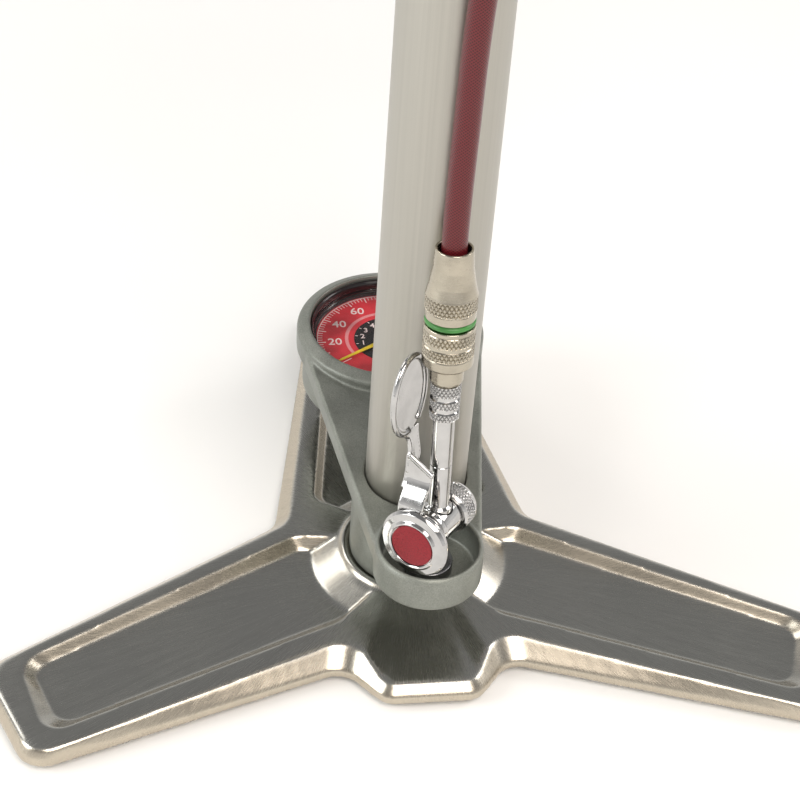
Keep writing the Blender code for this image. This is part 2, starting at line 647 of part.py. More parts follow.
HOSE_ROUTE = [
    (PORT_X, PORT_Y, HOSE_START_Z), (PORT_X, PORT_Y, 78.0), (13.0, 127.5, 110.0),
    (16.0, 118.0, 180.0), (21.0, 103.0, 270.0), (27.5, 84.0, 370.0), (34.5, 61.0, 470.0),
    (39.0, 42.5, 545.0), (SADDLE_X, 35.0, 580.0), (SADDLE_X, 30.3, 597.5),
    (SADDLE_X, 17.5, 610.3), (SADDLE_X, 0.0, 615.0), (SADDLE_X, -17.5, 610.3),
    (SADDLE_X, -30.3, 597.5), (SADDLE_X, -35.0, 580.0), (38.0, -37.5, 545.0),
    (30.0, -36.5, 475.0), (18.0, -32.0, 395.0), (7.5, -27.5, 320.0), (3.2, -25.2, 262.0),
    (2.0, -24.9, 215.0),
]


def build_hose():
    place = chuck_frame()
    axis = Vector(place.col[2][:3])
    end = COUPLER_TOP - axis * 14.0
    approach = COUPLER_TOP + axis * 6.0
    points, _ = smooth_path(HOSE_ROUTE + [tuple(approach), tuple(end)], 4 * HOSE_R)
    tube_object("hose", points, HOSE_R, "hose_red", 2)


def build_port():
    """Elbow fitting on the back of the gauge cup and the ferrule under the hose."""
    base_y, z = PORT_Y - 8.4, PASSAGE_Z + 4.6
    along_y = frame((PORT_X, 0, z), (1, 0, 0), (0, 1, 0))
    elbow = add_solid("hose_port_elbow", hexagon(13.0, base_y, base_y + 4.5), "warm_nickel",
                      along_y)
    combine(elbow, rod(5.6, base_y + 2, PORT_Y, 0, SMALL_STEPS), "UNION", along_y)
    ball = bmesh.new()
    bmesh.ops.create_uvsphere(ball, u_segments=16, v_segments=8, radius=6.2 * MM)
    combine(elbow, ball, "UNION", frame((PORT_X, PORT_Y, z)))
    link = frame((PORT_X, PORT_Y, 0))
    combine(elbow, rod(4.8, z, 50.0, 0, SMALL_STEPS), "UNION", link)
    collar = [(0, 50.3), (5.6, 50.3), (6.4, 51.1), (6.4, 57.0), (5.4, HOSE_START_Z - GAP),
              (0, HOSE_START_Z - GAP)]
    add_solid("hose_ferrule", lathe(collar, SMALL_STEPS), "warm_nickel", link)


def build_coupler(place):
    """Quick coupler between the hose and the chuck: core, sliding collar, ring, shell."""
    shell = [(HOSE_R + GAP, 97.5), (HOSE_R + GAP + 0.1, 97.5), (5.6, 111.9), (6.5, 111.9),
             (8.75, 95.8), (8.95, 95.0), (8.95, 89.4), (8.7, 89.1), (8.7, 86.1),
             (3.0, 86.1), (3.0, 97.5)]
    add_solid("coupler_shell", lathe(shell, 28), "warm_nickel", place)
    add_solid("coupler_ring", lathe([(3.0, 83.6), (8.1, 83.6), (8.8, 84.7), (8.1, 85.8),
                                     (3.0, 85.8)], 28), "green_rubber", place)
    collar = [(6.2, 67.0), (7.9, 67.0), (8.9, 68.2), (8.9, 83.3), (6.2, 83.3)]
    add_solid("coupler_collar", lathe(collar, 28), "warm_nickel", place)
    core = [(3.0, 60.3), (5.85, 60.3), (5.85, 83.3), (3.0, 83.3)]
    add_solid("coupler_core", lathe(core, SMALL_STEPS), "warm_nickel", place)


def build_stem(place):
    stem = [(0, 3.2), (3.0, 3.2), (4.0, 4.6), (5.0, 5.2), (5.0, 7.2), (3.95, 8.2),
            (3.95, 45.2), (5.3, 45.6), (5.3, 48.6), (4.9, 49.0), (4.9, 50.2), (5.3, 50.6),
            (5.3, 53.5), (4.9, 53.9), (4.9, 55.1), (5.4, 55.5), (5.4, 60.0), (2.7, 60.0),
            (2.7, 92.0), (0, 92.0)]
    add_solid("chuck_stem", lathe(stem, SMALL_STEPS), "chrome", place)


def build_head(place):
    """Cross head: body, clamp disc with its coloured insert, and the valve end."""
    across = place @ Matrix.Rotation(pi / 2, 4, "Y")
    body = [(0, -12.7), (7.4, -12.7), (7.4, -9.6), (6.6, -9.2), (6.6, -7.8), (7.4, -7.4),
            (7.4, 4.6), (6.8, 5.2), (0, 5.2)]
    head = add_solid("chuck_head", lathe(body, 20), "chrome", across)
    combine(head, rod(5.4, 2.9, 20.0, 0, SMALL_STEPS), "DIFFERENCE", place)
    combine(head, rod(3.2, -20.0, 20.0, 0, SMALL_STEPS), "DIFFERENCE", across)
    combine(head, rod(4.9, 4.1, 20.0, 0, SMALL_STEPS), "DIFFERENCE", across)
    disc = [(0, -17.4), (8.4, -17.4), (8.4, -18.4), (9.0, -18.7), (12.7, -17.0),
            (13.3, -16.2), (13.1, -15.2), (7.0, -15.2), (7.0, -13.0), (2.8, -13.0),
            (2.8, 4.1), (0, 4.1)]
    add_solid("chuck_disc", lathe(disc, 28), "chrome", across)
    add_solid("chuck_insert", rod(8.1, -18.2, -17.7, 0), "red_anodised", across)
    knob = [(3.6, 5.5), (8.2, 5.5), (9.0, 6.3), (9.0, 12.8), (8.0, 14.4), (3.6, 14.4)]
    add_solid("chuck_knob", lathe(knob, 28), "chrome", across)
    seal = [(2.6, 4.4), (4.6, 4.4), (4.6, 5.3), (3.3, 5.3), (3.3, 13.8), (2.6, 13.8)]
    add_solid("chuck_seal", lathe(seal, SMALL_STEPS), "rubber", across)
    return across


STRAP_RIGHT, STRAP_LEFT = -1.0, 8.6
STRAP_STATIONS = [
    # height on the left, height on the right, offset along the head
    (9.0, 9.0, -13.9), (13.5, 13.5, -13.6), (16.0, 16.0, -11.2), (18.5, 18.5, -8.9),
    (21.0, 21.0, -8.0), (30.0, 24.3, -7.3),
]
PADDLE_CENTRE, PADDLE_HALF = (-6.9, 53.8), (11.5, 16.5)
NECK_STATIONS = [
    # height, rear edge, front edge, sideways offset
    (20.0, -8.6, -6.6, 8.6), (23.0, -8.6, -4.0, 8.6), (26.0, -8.0, -0.9, 8.6),
    (29.5, -6.6, -0.5, 9.0), (33.0, -6.2, -0.5, 9.6), (36.0, -7.0, -0.2, 10.2),
    (38.5, -9.8, 0.4, 10.5),
]


def lever_blade():
    """Sheet beside the stem: a narrow neck that widens into an oval thumb paddle."""
    stations = list(NECK_STATIONS)
    for k in range(9):
        turn = radians(-50 + 136 * k / 8)
        half = PADDLE_HALF[0] * cos(turn)
        height = PADDLE_CENTRE[1] + PADDLE_HALF[1] * sin(turn)
        stations.append((height, PADDLE_CENTRE[0] - half, PADDLE_CENTRE[0] + half, 10.6))
    return loft([[(rear, side - 0.7, height), (front, side - 0.7, height),
                  (front, side + 0.7, height), (rear, side + 0.7, height)]
                 for height, rear, front, side in stations])


def build_lever(place, across):
    """Lever that turns round the head: ring, strap past the stem's front, and blade."""
    strap = loft([[(x - 0.7, STRAP_RIGHT, right), (x + 0.7, STRAP_RIGHT, right),
                   (x + 0.7, STRAP_LEFT, left), (x - 0.7, STRAP_LEFT, left)]
                  for left, right, x in STRAP_STATIONS])
    lever = add_solid("chuck_lever", strap, "chrome", place)
    combine(lever, lever_blade(), "UNION", place)
    combine(lever, washer(7.9, 12.0, -14.9, -13.0, 0, 28), "UNION", across)


def build_chuck():
    place = chuck_frame()
    build_coupler(place)
    build_stem(place)
    across = build_head(place)
    build_lever(place, across)


def centre_footprint():
    """Moves everything so that the middle of the footprint stands over the origin."""
    move = Matrix.Translation((0, -FOOTPRINT_CENTRE_Y * MM, 0))
    for made in bpy.data.objects:
        made.matrix_world = move @ made.matrix_world


def main():
    clear_scene()
    build_base()
    build_body()
    build_valve()
    build_barrel()
    build_cap()
    build_saddle()
    build_piston()
    build_handle()
    build_gauge()
    build_port()
    build_hose()
    build_chuck()
    centre_footprint()


main()
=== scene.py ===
"""Looks of a floor pump with a cast three-legged base, a dial gauge and a docked lever chuck.

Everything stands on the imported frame. Lengths are millimetres on the barrel's axis, +Z up and
the chuck dock towards -Y, and MM turns them into metres.
"""
import json
from math import atan2, ceil, cos, hypot, pi, radians, sin, sqrt, tan, tau

import bmesh
import bpy
import numpy as np
from mathutils import Matrix, Vector


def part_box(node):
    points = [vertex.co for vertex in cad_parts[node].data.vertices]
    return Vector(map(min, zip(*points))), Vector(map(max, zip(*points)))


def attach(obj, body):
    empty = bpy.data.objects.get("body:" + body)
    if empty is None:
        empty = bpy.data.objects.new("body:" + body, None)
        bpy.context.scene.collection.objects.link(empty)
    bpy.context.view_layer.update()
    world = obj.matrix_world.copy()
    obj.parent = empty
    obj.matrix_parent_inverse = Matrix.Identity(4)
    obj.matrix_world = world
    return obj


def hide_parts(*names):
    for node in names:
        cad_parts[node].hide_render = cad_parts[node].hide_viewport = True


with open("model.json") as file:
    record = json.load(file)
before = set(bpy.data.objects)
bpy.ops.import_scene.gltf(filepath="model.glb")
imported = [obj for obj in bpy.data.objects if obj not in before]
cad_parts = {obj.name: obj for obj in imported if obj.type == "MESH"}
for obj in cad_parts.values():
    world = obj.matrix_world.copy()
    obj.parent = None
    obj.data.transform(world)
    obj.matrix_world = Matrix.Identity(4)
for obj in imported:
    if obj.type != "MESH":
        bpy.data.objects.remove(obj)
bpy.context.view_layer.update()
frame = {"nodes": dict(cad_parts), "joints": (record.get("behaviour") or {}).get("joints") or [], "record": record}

MM = 0.001
GAP = 0.3


# ---------------------------------------------------------------- measures from the frame

def middle(node):
    low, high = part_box(node)
    return (low + high) / 2 / MM


def size(node):
    low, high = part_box(node)
    return (high - low) / MM


def top(node):
    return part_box(node)[1].z / MM


def bottom(node):
    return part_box(node)[0].z / MM


JOINTS = {joint["name"]: joint for joint in frame["joints"]}
BODY_OF = {node: body for body, members in frame["record"]["behaviour"]["bodies"].items()
           for node in members}

AXIS = Vector((middle("barrel_tube").x, middle("barrel_tube").y, 0))
BARREL_R = size("barrel_tube").x / 2
BARREL_BOTTOM = bottom("barrel_tube")
BARREL_TOP = top("barrel_tube")
ROD_R = size("piston_rod").x / 2
BASE_UNDERSIDE = bottom("base_casting")
BASE_EDGE_TOP = BASE_UNDERSIDE + 3.3
HUB_TOP = top("base_casting") - 1.6
HUB_R = 27.7
BOLT_SEAT_Z = 10.3
BOLT_RECESS_R = 9.6
GAUGE_Y = middle("gauge_bezel").y - AXIS.y
GAUGE_BORE_R = size("gauge_bezel").x / 2 + GAP
GAUGE_CUP_R = size("body_casting").x / 2
GAUGE_RIM_Z = top("body_casting")
DIAL_Z = top("gauge_dial")
DOCK_Y = middle("dock_magnet").y - AXIS.y
DOCK_R = 20.0
DOCK_BORE_R = 17.9
DOCK_RIM_Z = 53.2
PLATE_THICKNESS = 9.2
NECK_R = 23.5
CAP_TOP = top("top_cap")
CAP_R = size("top_cap").x / 2
HANDLE_Z = middle("handle_bolt_left").z
PORT_X = middle("hose_ferrule").x - AXIS.x
PORT_Y = middle("hose_ferrule").y - AXIS.y
PORT_Z = 37.6
HOSE_START_Z = top("hose_ferrule") + GAP
HOSE_R = 4.35
SADDLE_X, SADDLE_Z, SADDLE_BEND_R = 40.0, 580.0, 35.0
ZERO_DEGREES, DEGREES_PER_UNIT, FULL_SCALE = 212.0, 1.53, 160


# ---------------------------------------------------------------- camera, lights and stage

CAMERA_AT = Vector((-0.10049, -0.56757, 0.53157))
CAMERA_AIM = Vector((0.1326, 0.7601, -0.6361))
CAMERA_UP = Vector((0.0332, 0.638, 0.7693))
LENS_MM = 85.86
LIGHT_AIM = Vector((0, 0, 0.1))
FLOOR_REACH = 4.0


def make_camera():
    data = bpy.data.cameras.new("camera")
    data.lens = LENS_MM
    data.sensor_width = 36.0
    data.clip_start = 0.01
    made = bpy.data.objects.new("camera", data)
    bpy.context.collection.objects.link(made)
    back = -CAMERA_AIM.normalized()
    up = (CAMERA_UP - CAMERA_UP.dot(back) * back).normalized()
    turn = Matrix((up.cross(back), up, back)).transposed().to_4x4()
    made.matrix_world = Matrix.Translation(CAMERA_AT) @ turn
    bpy.context.scene.camera = made


def soft_light(name, at, width, power, colour):
    data = bpy.data.lights.new(name, "AREA")
    data.size = width
    data.energy = power
    data.color = colour
    made = bpy.data.objects.new(name, data)
    bpy.context.collection.objects.link(made)
    made.location = at
    made.rotation_mode = "QUATERNION"
    made.rotation_quaternion = (LIGHT_AIM - Vector(at)).to_track_quat("-Z", "Y")


def make_lights():
    soft_light("key", (0.3, -1.5, 2.0), 1.5, 46, (1.0, 0.93, 0.86))
    soft_light("side", (-2.0, -0.3, 1.2), 1.2, 26, (0.98, 1.0, 0.99))
    soft_light("fill", (2.1, 0.3, 1.5), 0.9, 16, (1.0, 0.97, 0.94))
    soft_light("back_left", (-1.7, 1.5, 1.75), 1.0, 12, (1.0, 0.97, 0.92))


def add_node(tree, kind, inputs=None, **properties):
    """New node whose inputs are linked to sockets or set to values."""
    node = tree.nodes.new(kind)
    for key, value in properties.items():
        setattr(node, key, value)
    for key, value in (inputs or {}).items():
        if isinstance(value, bpy.types.NodeSocket):
            tree.links.new(value, node.inputs[key])
        else:
            node.inputs[key].default_value = value
    return node


def colour_ramp(tree, value, stops):
    """Colour that runs through (position, colour) stops."""
    node = add_node(tree, "ShaderNodeValToRGB", {0: value})
    elements = node.color_ramp.elements
    while len(elements) < len(stops):
        elements.new(0.5)
    for element, (position, colour) in zip(elements, stops):
        element.position = position
        element.color = (*colour, 1.0)
    return node.outputs[0]


def make_world():
    """Studio surroundings: bright round the horizon and dim overhead."""
    world = bpy.data.worlds.new("studio")
    bpy.context.scene.world = world
    world.use_nodes = True
    tree = world.node_tree
    tree.nodes.clear()
    view = add_node(tree, "ShaderNodeTexCoord").outputs["Generated"]
    height = add_node(tree, "ShaderNodeSeparateXYZ", {0: view}).outputs[2]
    sky = colour_ramp(tree, height, [(0.10, (0.92, 0.91, 0.89)), (0.52, (0.27, 0.27, 0.27))])
    light = add_node(tree, "ShaderNodeBackground", {"Color": sky, "Strength": 1.0})
    add_node(tree, "ShaderNodeOutputWorld", {0: light.outputs[0]})


def make_floor(material):
    mesh = bpy.data.meshes.new("floor")
    corners = [(x * FLOOR_REACH, y * FLOOR_REACH, 0) for x, y in ((-1, -1), (1, -1), (1, 1), (-1, 1))]
    mesh.from_pydata(corners, [], [(0, 1, 2, 3)])
    mesh.materials.append(material)
    made = bpy.data.objects.new("floor", mesh)
    bpy.context.collection.objects.link(made)


# ---------------------------------------------------------------- shader helpers

class Shade:
    """One material with a Principled surface, and short calls that add nodes to it."""

    def __init__(self, name, colour, roughness, metallic=0.0, **settings):
        self.material = bpy.data.materials.new(name)
        self.material.use_nodes = True
        self.tree = self.material.node_tree
        self.surface = self.tree.nodes["Principled BSDF"]
        self.set("Base Color", (*colour, 1.0))
        self.set("Roughness", roughness)
        self.set("Metallic", metallic)
        for key, value in settings.items():
            self.set(key.replace("_", " ").title().replace("Ior", "IOR"), value)
        self.place = self.add("ShaderNodeTexCoord").outputs["Object"]

    def set(self, socket, value):
        self.surface.inputs[socket].default_value = value

    def add(self, kind, inputs=None, **properties):
        return add_node(self.tree, kind, inputs, **properties)

    def stretched(self, scale):
        """Object coordinates multiplied by a scale for each axis."""
        return self.add("ShaderNodeVectorMath", {0: self.place, 1: scale},
                        operation="MULTIPLY").outputs[0]

    def noise(self, scale=1.0, vector=None, detail=3.0, roughness=0.5):
        inputs = {"Vector": vector or self.place, "Scale": scale, "Detail": detail,
                  "Roughness": roughness}
        return self.add("ShaderNodeTexNoise", inputs).outputs["Fac"]

    def math(self, operation, a, b=0.0):
        return self.add("ShaderNodeMath", {0: a, 1: b}, operation=operation).outputs[0]

    def mixed(self, a, share, b):
        """The share of one value added to the rest of another."""
        return self.math("ADD", self.math("MULTIPLY", a, share),
                         self.math("MULTIPLY", b, 1 - share))

    def from_axis(self, split):
        """Distance from the local Z axis."""
        squares = [self.math("MULTIPLY", split[i], split[i]) for i in (0, 1)]
        return self.math("SQRT", self.math("ADD", *squares))

    def remap(self, value, low, high, start=0.3, end=0.7):
        inputs = {"Value": value, "From Min": start, "From Max": end, "To Min": low,
                  "To Max": high}
        return self.add("ShaderNodeMapRange", inputs).outputs["Result"]

    def colours(self, value, *stops):
        return colour_ramp(self.tree, value, stops)

    def tones(self, value, base, *stops):
        """Colour that runs through (position, factor) shades of the base."""
        return self.colours(value, *[(position, [channel * factor for channel in base])
                                     for position, factor in stops])

    def link(self, socket, output):
        self.tree.links.new(output, self.surface.inputs[socket])

    def bump(self, height, distance, strength=1.0):
        inputs = {"Height": height, "Distance": distance * MM, "Strength": strength}
        self.link("Normal", self.add("ShaderNodeBump", inputs).outputs["Normal"])


# ---------------------------------------------------------------- materials

def brushed_casting():
    """Dark nickel, brushed outwards along the legs, cloudy, with a warm painted reflection on its slopes."""
    base = (0.48, 0.475, 0.445)
    m = Shade("cast_base", base, 0.3, 1.0)
    split = m.add("ShaderNodeSeparateXYZ", {0: m.place}).outputs
    turn = m.math("ARCTAN2", split[1], split[0])
    reach = m.from_axis(split)
    polar = m.add("ShaderNodeCombineXYZ", {0: m.math("MULTIPLY", turn, 46.0),
                                           1: m.math("MULTIPLY", reach, 14.0),
                                           2: m.math("MULTIPLY", split[2], 60.0)}).outputs[0]
    fine = m.noise(11.0, polar, 4.0, 0.6)
    broad = m.noise(1.2, polar, 3.0, 0.6)
    cloud = m.noise(22.0, None, 4.0, 0.6)
    tone = m.tones(m.mixed(fine, 0.45, broad), base, (0.32, 0.93), (0.5, 1.0), (0.68, 1.08))
    # Painted reflection: faces that tilt away from straight up get a warm tint in the base colour, standing in for
    # the warm surroundings they reflect.
    facing = m.add("ShaderNodeSeparateXYZ",
                   {0: m.add("ShaderNodeNewGeometry").outputs["Normal"]}).outputs[2]
    slope = m.remap(facing, 1.0, 0.0, 0.70, 0.93)
    slope_reflection_tint = {"Fac": slope, "Color1": tone, "Color2": (1.10, 0.99, 0.86, 1.0)}
    m.link("Base Color", m.add("ShaderNodeMixRGB", slope_reflection_tint, blend_type="MULTIPLY").outputs[0])
    m.link("Roughness", m.math("ADD", m.remap(fine, 0.20, 0.29), m.remap(cloud, -0.02, 0.06)))
    m.bump(fine, 0.012, 0.2)
    return m.material


def blasted_paint():
    """Grey-green satin metal finish with the fine grain of bead blasting."""
    base = (0.222, 0.232, 0.206)
    m = Shade("body_finish", base, 0.48, 0.55, coat_weight=0.12, coat_roughness=0.3)
    grain = m.noise(2600.0, None, 2.0)
    mottle = m.noise(60.0, None, 4.0, 0.6)
    blend = m.mixed(grain, 0.6, mottle)
    m.link("Base Color", m.tones(blend, base, (0.36, 0.72), (0.5, 1.0), (0.66, 1.36)))
    m.link("Roughness", m.remap(blend, 0.4, 0.56))
    m.bump(grain, 0.05, 0.5)
    return m.material


def drawn_tube():
    """Satin silver aluminium with fine lines along local Z."""
    base = (0.44, 0.425, 0.385)
    m = Shade("barrel_finish", base, 0.42, 1.0)
    lines = m.noise(1.0, m.stretched((900.0, 900.0, 6.0)), 3.0, 0.6)
    soft = m.noise(1.0, m.stretched((120.0, 120.0, 5.0)), 3.0)
    blend = m.mixed(lines, 0.6, soft)
    m.link("Base Color", m.tones(blend, base, (0.35, 0.93), (0.5, 1.0), (0.65, 1.06)))
    m.link("Roughness", m.remap(blend, 0.36, 0.47))
    m.bump(lines, 0.02, 0.4)
    return m.material


def plated(name, base, rough_low, rough_high, lines=(700.0, 700.0, 60.0), depth=0.004):
    """Polished or plated metal with faint tool marks and a little uneven polish."""
    m = Shade(name, base, rough_low, 1.0)
    marks = m.noise(1.0, m.stretched(lines), 3.0, 0.6)
    haze = m.noise(150.0, None, 3.0)
    m.link("Base Color", m.tones(haze, base, (0.34, 0.90), (0.5, 1.0), (0.66, 1.06)))
    m.link("Roughness", m.remap(marks, rough_low, rough_high))
    m.bump(marks, depth, 0.4)
    return m.material


def braided_hose():
    """Deep red braid in two crossing sets of strands under a clear outer layer."""
    base = (0.10, 0.006, 0.009)
    m = Shade("hose_red", base, 0.34, 0.0, coat_weight=0.35, coat_roughness=0.12,
              specular_ior_level=0.3)
    around = m.add("ShaderNodeUVMap", uv_map="UVMap").outputs[0]
    split = m.add("ShaderNodeSeparateXYZ", {0: around}).outputs
    strands, per_metre = 22.0, 900.0
    ways = []
    for sign in (1.0, -1.0):
        phase = m.math("ADD", m.math("MULTIPLY", split[0], strands * tau),
                       m.math("MULTIPLY", split[1], sign * per_metre * tau))
        ways.append(m.math("ADD", m.math("MULTIPLY", m.math("SINE", phase), 0.5), 0.5))
    weave = m.math("MAXIMUM", m.math("MULTIPLY", ways[0], ways[0]),
                   m.math("MULTIPLY", ways[1], ways[1]))
    spread = m.noise(1.0, m.add("ShaderNodeVectorMath", {0: around, 1: (40.0, 900.0, 1.0)},
                                operation="MULTIPLY").outputs[0], 3.0)
    tone = m.mixed(weave, 0.8, spread)
    m.link("Base Color", m.tones(tone, base, (0.15, 0.30), (0.55, 0.85), (0.95, 1.7)))
    m.link("Roughness", m.remap(spread, 0.28, 0.42))
    m.bump(weave, 0.12, 0.6)
    return m.material


def moulded(name, base, rough_low, rough_high, grain=900.0, depth=0.03):
    """Rubber or plastic with a fine moulded grain and slight mottling."""
    m = Shade(name, base, rough_low)
    fine = m.noise(grain, None, 2.0)
    broad = m.noise(80.0, None, 3.0)
    m.link("Base Color", m.tones(broad, base, (0.35, 0.75), (0.65, 1.3)))
    m.link("Roughness", m.remap(fine, rough_low, rough_high))
    m.bump(fine, depth, 0.5)
    return m.material


def turned_wood():
    """Oiled hardwood with the grain along local Z."""
    m = Shade("wood", (0.25, 0.10, 0.04), 0.4, 0.0, coat_weight=0.25, coat_roughness=0.2)
    grain = m.noise(1.0, m.stretched((260.0, 260.0, 12.0)), 5.0, 0.65)
    figure = m.noise(1.0, m.stretched((60.0, 60.0, 9.0)), 3.0)
    blend = m.mixed(grain, 0.6, figure)
    m.link("Base Color", m.colours(blend, (0.34, (0.075, 0.024, 0.010)),
                                   (0.5, (0.24, 0.085, 0.034)), (0.66, (0.40, 0.17, 0.075))))
    m.link("Roughness", m.remap(grain, 0.32, 0.5))
    m.bump(grain, 0.05, 0.4)
    return m.material


def anodised_red():
    """Red anodised metal face with a spun grain round local Z."""
    base = (0.25, 0.016, 0.024)
    m = Shade("red_anodised", base, 0.3, 0.75, coat_weight=0.3, coat_roughness=0.15)
    split = m.add("ShaderNodeSeparateXYZ", {0: m.place}).outputs
    outwards = m.math("MULTIPLY", m.from_axis(split), 2600.0)
    rings = m.noise(1.0, m.add("ShaderNodeCombineXYZ", {0: outwards}).outputs[0], 3.0)
    grain = m.noise(1800.0, None, 2.0)
    blend = m.mixed(rings, 0.4, grain)
    m.link("Base Color", m.tones(blend, base, (0.38, 0.88), (0.62, 1.14)))
    m.link("Roughness", m.remap(grain, 0.26, 0.34))
    m.bump(blend, 0.006, 0.3)
    return m.material


def clear_pane():
    """Clear dial cover: see-through, with gloss that grows at grazing angles."""
    material = bpy.data.materials.new("clear_lens")
    material.use_nodes = True
    tree = material.node_tree
    tree.nodes.clear()
    clear = add_node(tree, "ShaderNodeBsdfTransparent", {"Color": (0.97, 0.975, 0.97, 1)})
    gloss = add_node(tree, "ShaderNodeBsdfGlossy", {"Roughness": 0.03})
    facing = add_node(tree, "ShaderNodeLayerWeight", {"Blend": 0.5}).outputs["Facing"]
    steep = add_node(tree, "ShaderNodeMath", {0: facing, 1: 3.5}, operation="POWER").outputs[0]
    edge = add_node(tree, "ShaderNodeMath", {0: steep, 1: 0.5, 2: 0.015},
                    operation="MULTIPLY_ADD").outputs[0]
    mix = add_node(tree, "ShaderNodeMixShader",
                   {0: edge, 1: clear.outputs[0], 2: gloss.outputs[0]})
    add_node(tree, "ShaderNodeOutputMaterial", {0: mix.outputs[0]})
    return material


def pale_floor():
    m = Shade("floor", (0.92, 0.92, 0.915), 0.75, 0.0, specular_ior_level=0.2)
    cloud = m.noise(3.0, None, 2.0)
    m.link("Base Color", m.colours(cloud, (0.3, (0.91, 0.91, 0.905)), (0.7, (0.94, 0.94, 0.935))))
    return m.material


# Colour, lowest and highest roughness, then the scale of the tool marks and their depth.
PLATED = {
    "chrome": ((0.52, 0.515, 0.51), 0.07, 0.14),
    "warm_nickel": ((0.45, 0.41, 0.335), 0.17, 0.3, (300.0, 300.0, 2500.0), 0.02),
    "steel": ((0.50, 0.50, 0.51), 0.22, 0.36, (400.0, 400.0, 400.0), 0.01),
    "brass": ((0.72, 0.53, 0.24), 0.2, 0.36, (400.0, 400.0, 400.0), 0.01),
    "magnet": ((0.30, 0.30, 0.31), 0.25, 0.4, (500.0, 500.0, 500.0)),
}
# Colour, lowest and highest roughness, then the scale of the grain and its depth.
MOULDED = {
    "rubber": ((0.022, 0.022, 0.022), 0.6, 0.8),
    "leather": ((0.22, 0.11, 0.05), 0.55, 0.75, 500.0, 0.1),
    "black_gloss": ((0.014, 0.011, 0.012), 0.08, 0.16, 500.0, 0.004),
    "dial_print": ((0.62, 0.030, 0.045), 0.36, 0.46, 1500.0, 0.01),
    "dial_white": ((0.86, 0.70, 0.70), 0.45, 0.55, 900.0, 0.004),
    "dial_pink": ((0.72, 0.25, 0.27), 0.45, 0.55, 900.0, 0.004),
    "needle_paint": ((0.86, 0.62, 0.03), 0.3, 0.42, 900.0, 0.01),
    "green_rubber": ((0.045, 0.20, 0.04), 0.3, 0.45, 900.0, 0.01),
}
OTHERS = {
    "cast_base": brushed_casting,
    "body_finish": blasted_paint,
    "barrel_finish": drawn_tube,
    "wood": turned_wood,
    "clear_lens": clear_pane,
    "red_anodised": anodised_red,
    "hose_red": braided_hose,
}


def make_materials():
    made = {name: plated(name, *look) for name, look in PLATED.items()}
    made |= {name: moulded(name, *look) for name, look in MOULDED.items()}
    made |= {name: make() for name, make in OTHERS.items()}
    return made


# ---------------------------------------------------------------- places and outlines

def place_at(origin=(0, 0, 0), x_axis=(1, 0, 0), z_axis=(0, 0, 1)):
    """World matrix of a frame given from the barrel's axis by its origin and two axes."""
    z = Vector(z_axis).normalized()
    x = Vector(x_axis)
    x = (x - x.dot(z) * z).normalized()
    turned = Matrix((x, z.cross(x), z)).transposed().to_4x4()
    return Matrix.Translation((Vector(origin) + AXIS) * MM) @ turned


def corner_arc(here, before, after, radius, steps):
    """Arc that rounds a corner, given the unit directions to the points beside it."""
    half = before.angle(after) / 2
    along = radius / tan(half)
    centre = here + (before + after).normalized() * (radius / sin(half))
    start = atan2(*(here + before * along - centre).yx)
    sweep = (atan2(*(here + after * along - centre).yx) - start + pi) % tau - pi
    turns = [start + sweep * k / steps for k in range(steps + 1)]
    return [(centre.x + radius * cos(turn), centre.y + radius * sin(turn)) for turn in turns]


def filleted(points, arc_steps=5):
    """Open polyline of (x, y) or (x, y, radius) points with its corners rounded."""
    made = []
    for i, point in enumerate(points):
        radius = point[2] if len(point) > 2 else 0.0
        here = Vector(point[:2])
        if not radius or i in (0, len(points) - 1):
            made.append(tuple(here))
            continue
        before = Vector(points[i - 1][:2]) - here
        after = Vector(points[i + 1][:2]) - here
        half = before.angle(after) / 2
        if half > radians(89):
            made.append(tuple(here))
            continue
        room = min(before.length, after.length) * 0.49
        radius = min(radius / tan(half), room) * tan(half)
        made += corner_arc(here, before.normalized(), after.normalized(), radius, arc_steps)
    return made


def grid_mesh(rings, closed_path=False, capped=True, uv=None):
    """Mesh skinned through rings of equal point count, in millimetres."""
    count = len(rings[0])
    verts = [tuple(Vector(p) * MM) for ring in rings for p in ring]
    faces = []
    rows = len(rings)
    for row in range(rows if closed_path else rows - 1):
        a, b = row * count, (row + 1) % rows * count
        for i in range(count):
            j = (i + 1) % count
            faces.append((a + i, a + j, b + j, b + i))
    if capped and not closed_path:
        faces.append(tuple(range(count))[::-1])
        faces.append(tuple((rows - 1) * count + i for i in range(count)))
    mesh = bpy.data.meshes.new("piece")
    mesh.from_pydata(verts, [], faces)
    if uv:
        layer = mesh.uv_layers.new(name="UVMap")
        for face in mesh.polygons:
            columns = [mesh.loops[k].vertex_index % count for k in face.loop_indices]
            wraps = max(columns) - min(columns) > 1
            for k, column in zip(face.loop_indices, columns):
                row = mesh.loops[k].vertex_index // count
                share = 1.0 if wraps and column == 0 else column / count
                layer.data[k].uv = (share, uv[row])
    return clean(mesh)


def clean(mesh):
    """Merges points that coincide and turns the faces outwards."""
    bm = bmesh.new()
    bm.from_mesh(mesh)
    bmesh.ops.remove_doubles(bm, verts=bm.verts, dist=1e-7)
    bmesh.ops.recalc_face_normals(bm, faces=bm.faces)
    bm.to_mesh(mesh)
    bm.free()
    return mesh


def lathe(profile, steps=96, relief=None, phase=0.0):
    """Solid of revolution about local Z; relief(angle, r, z) adds to the radius.

    A phase, in steps, keeps a cutter's edges off those of a coaxial target.
    """
    rings = []
    for r, z in profile:
        ring = []
        for k in range(steps):
            turn = tau * (k + phase) / steps
            radius = r + (relief(turn, r, z) if relief else 0.0)
            ring.append((radius * cos(turn), radius * sin(turn), z))
        rings.append(ring)
    return grid_mesh(rings, closed_path=profile[0][0] > 0, capped=False)


def rod(radius, low, high, bevel=0.0, steps=64):
    return lathe(filleted([(0, low), (radius, low, bevel), (radius, high, bevel), (0, high)]),
                 steps)


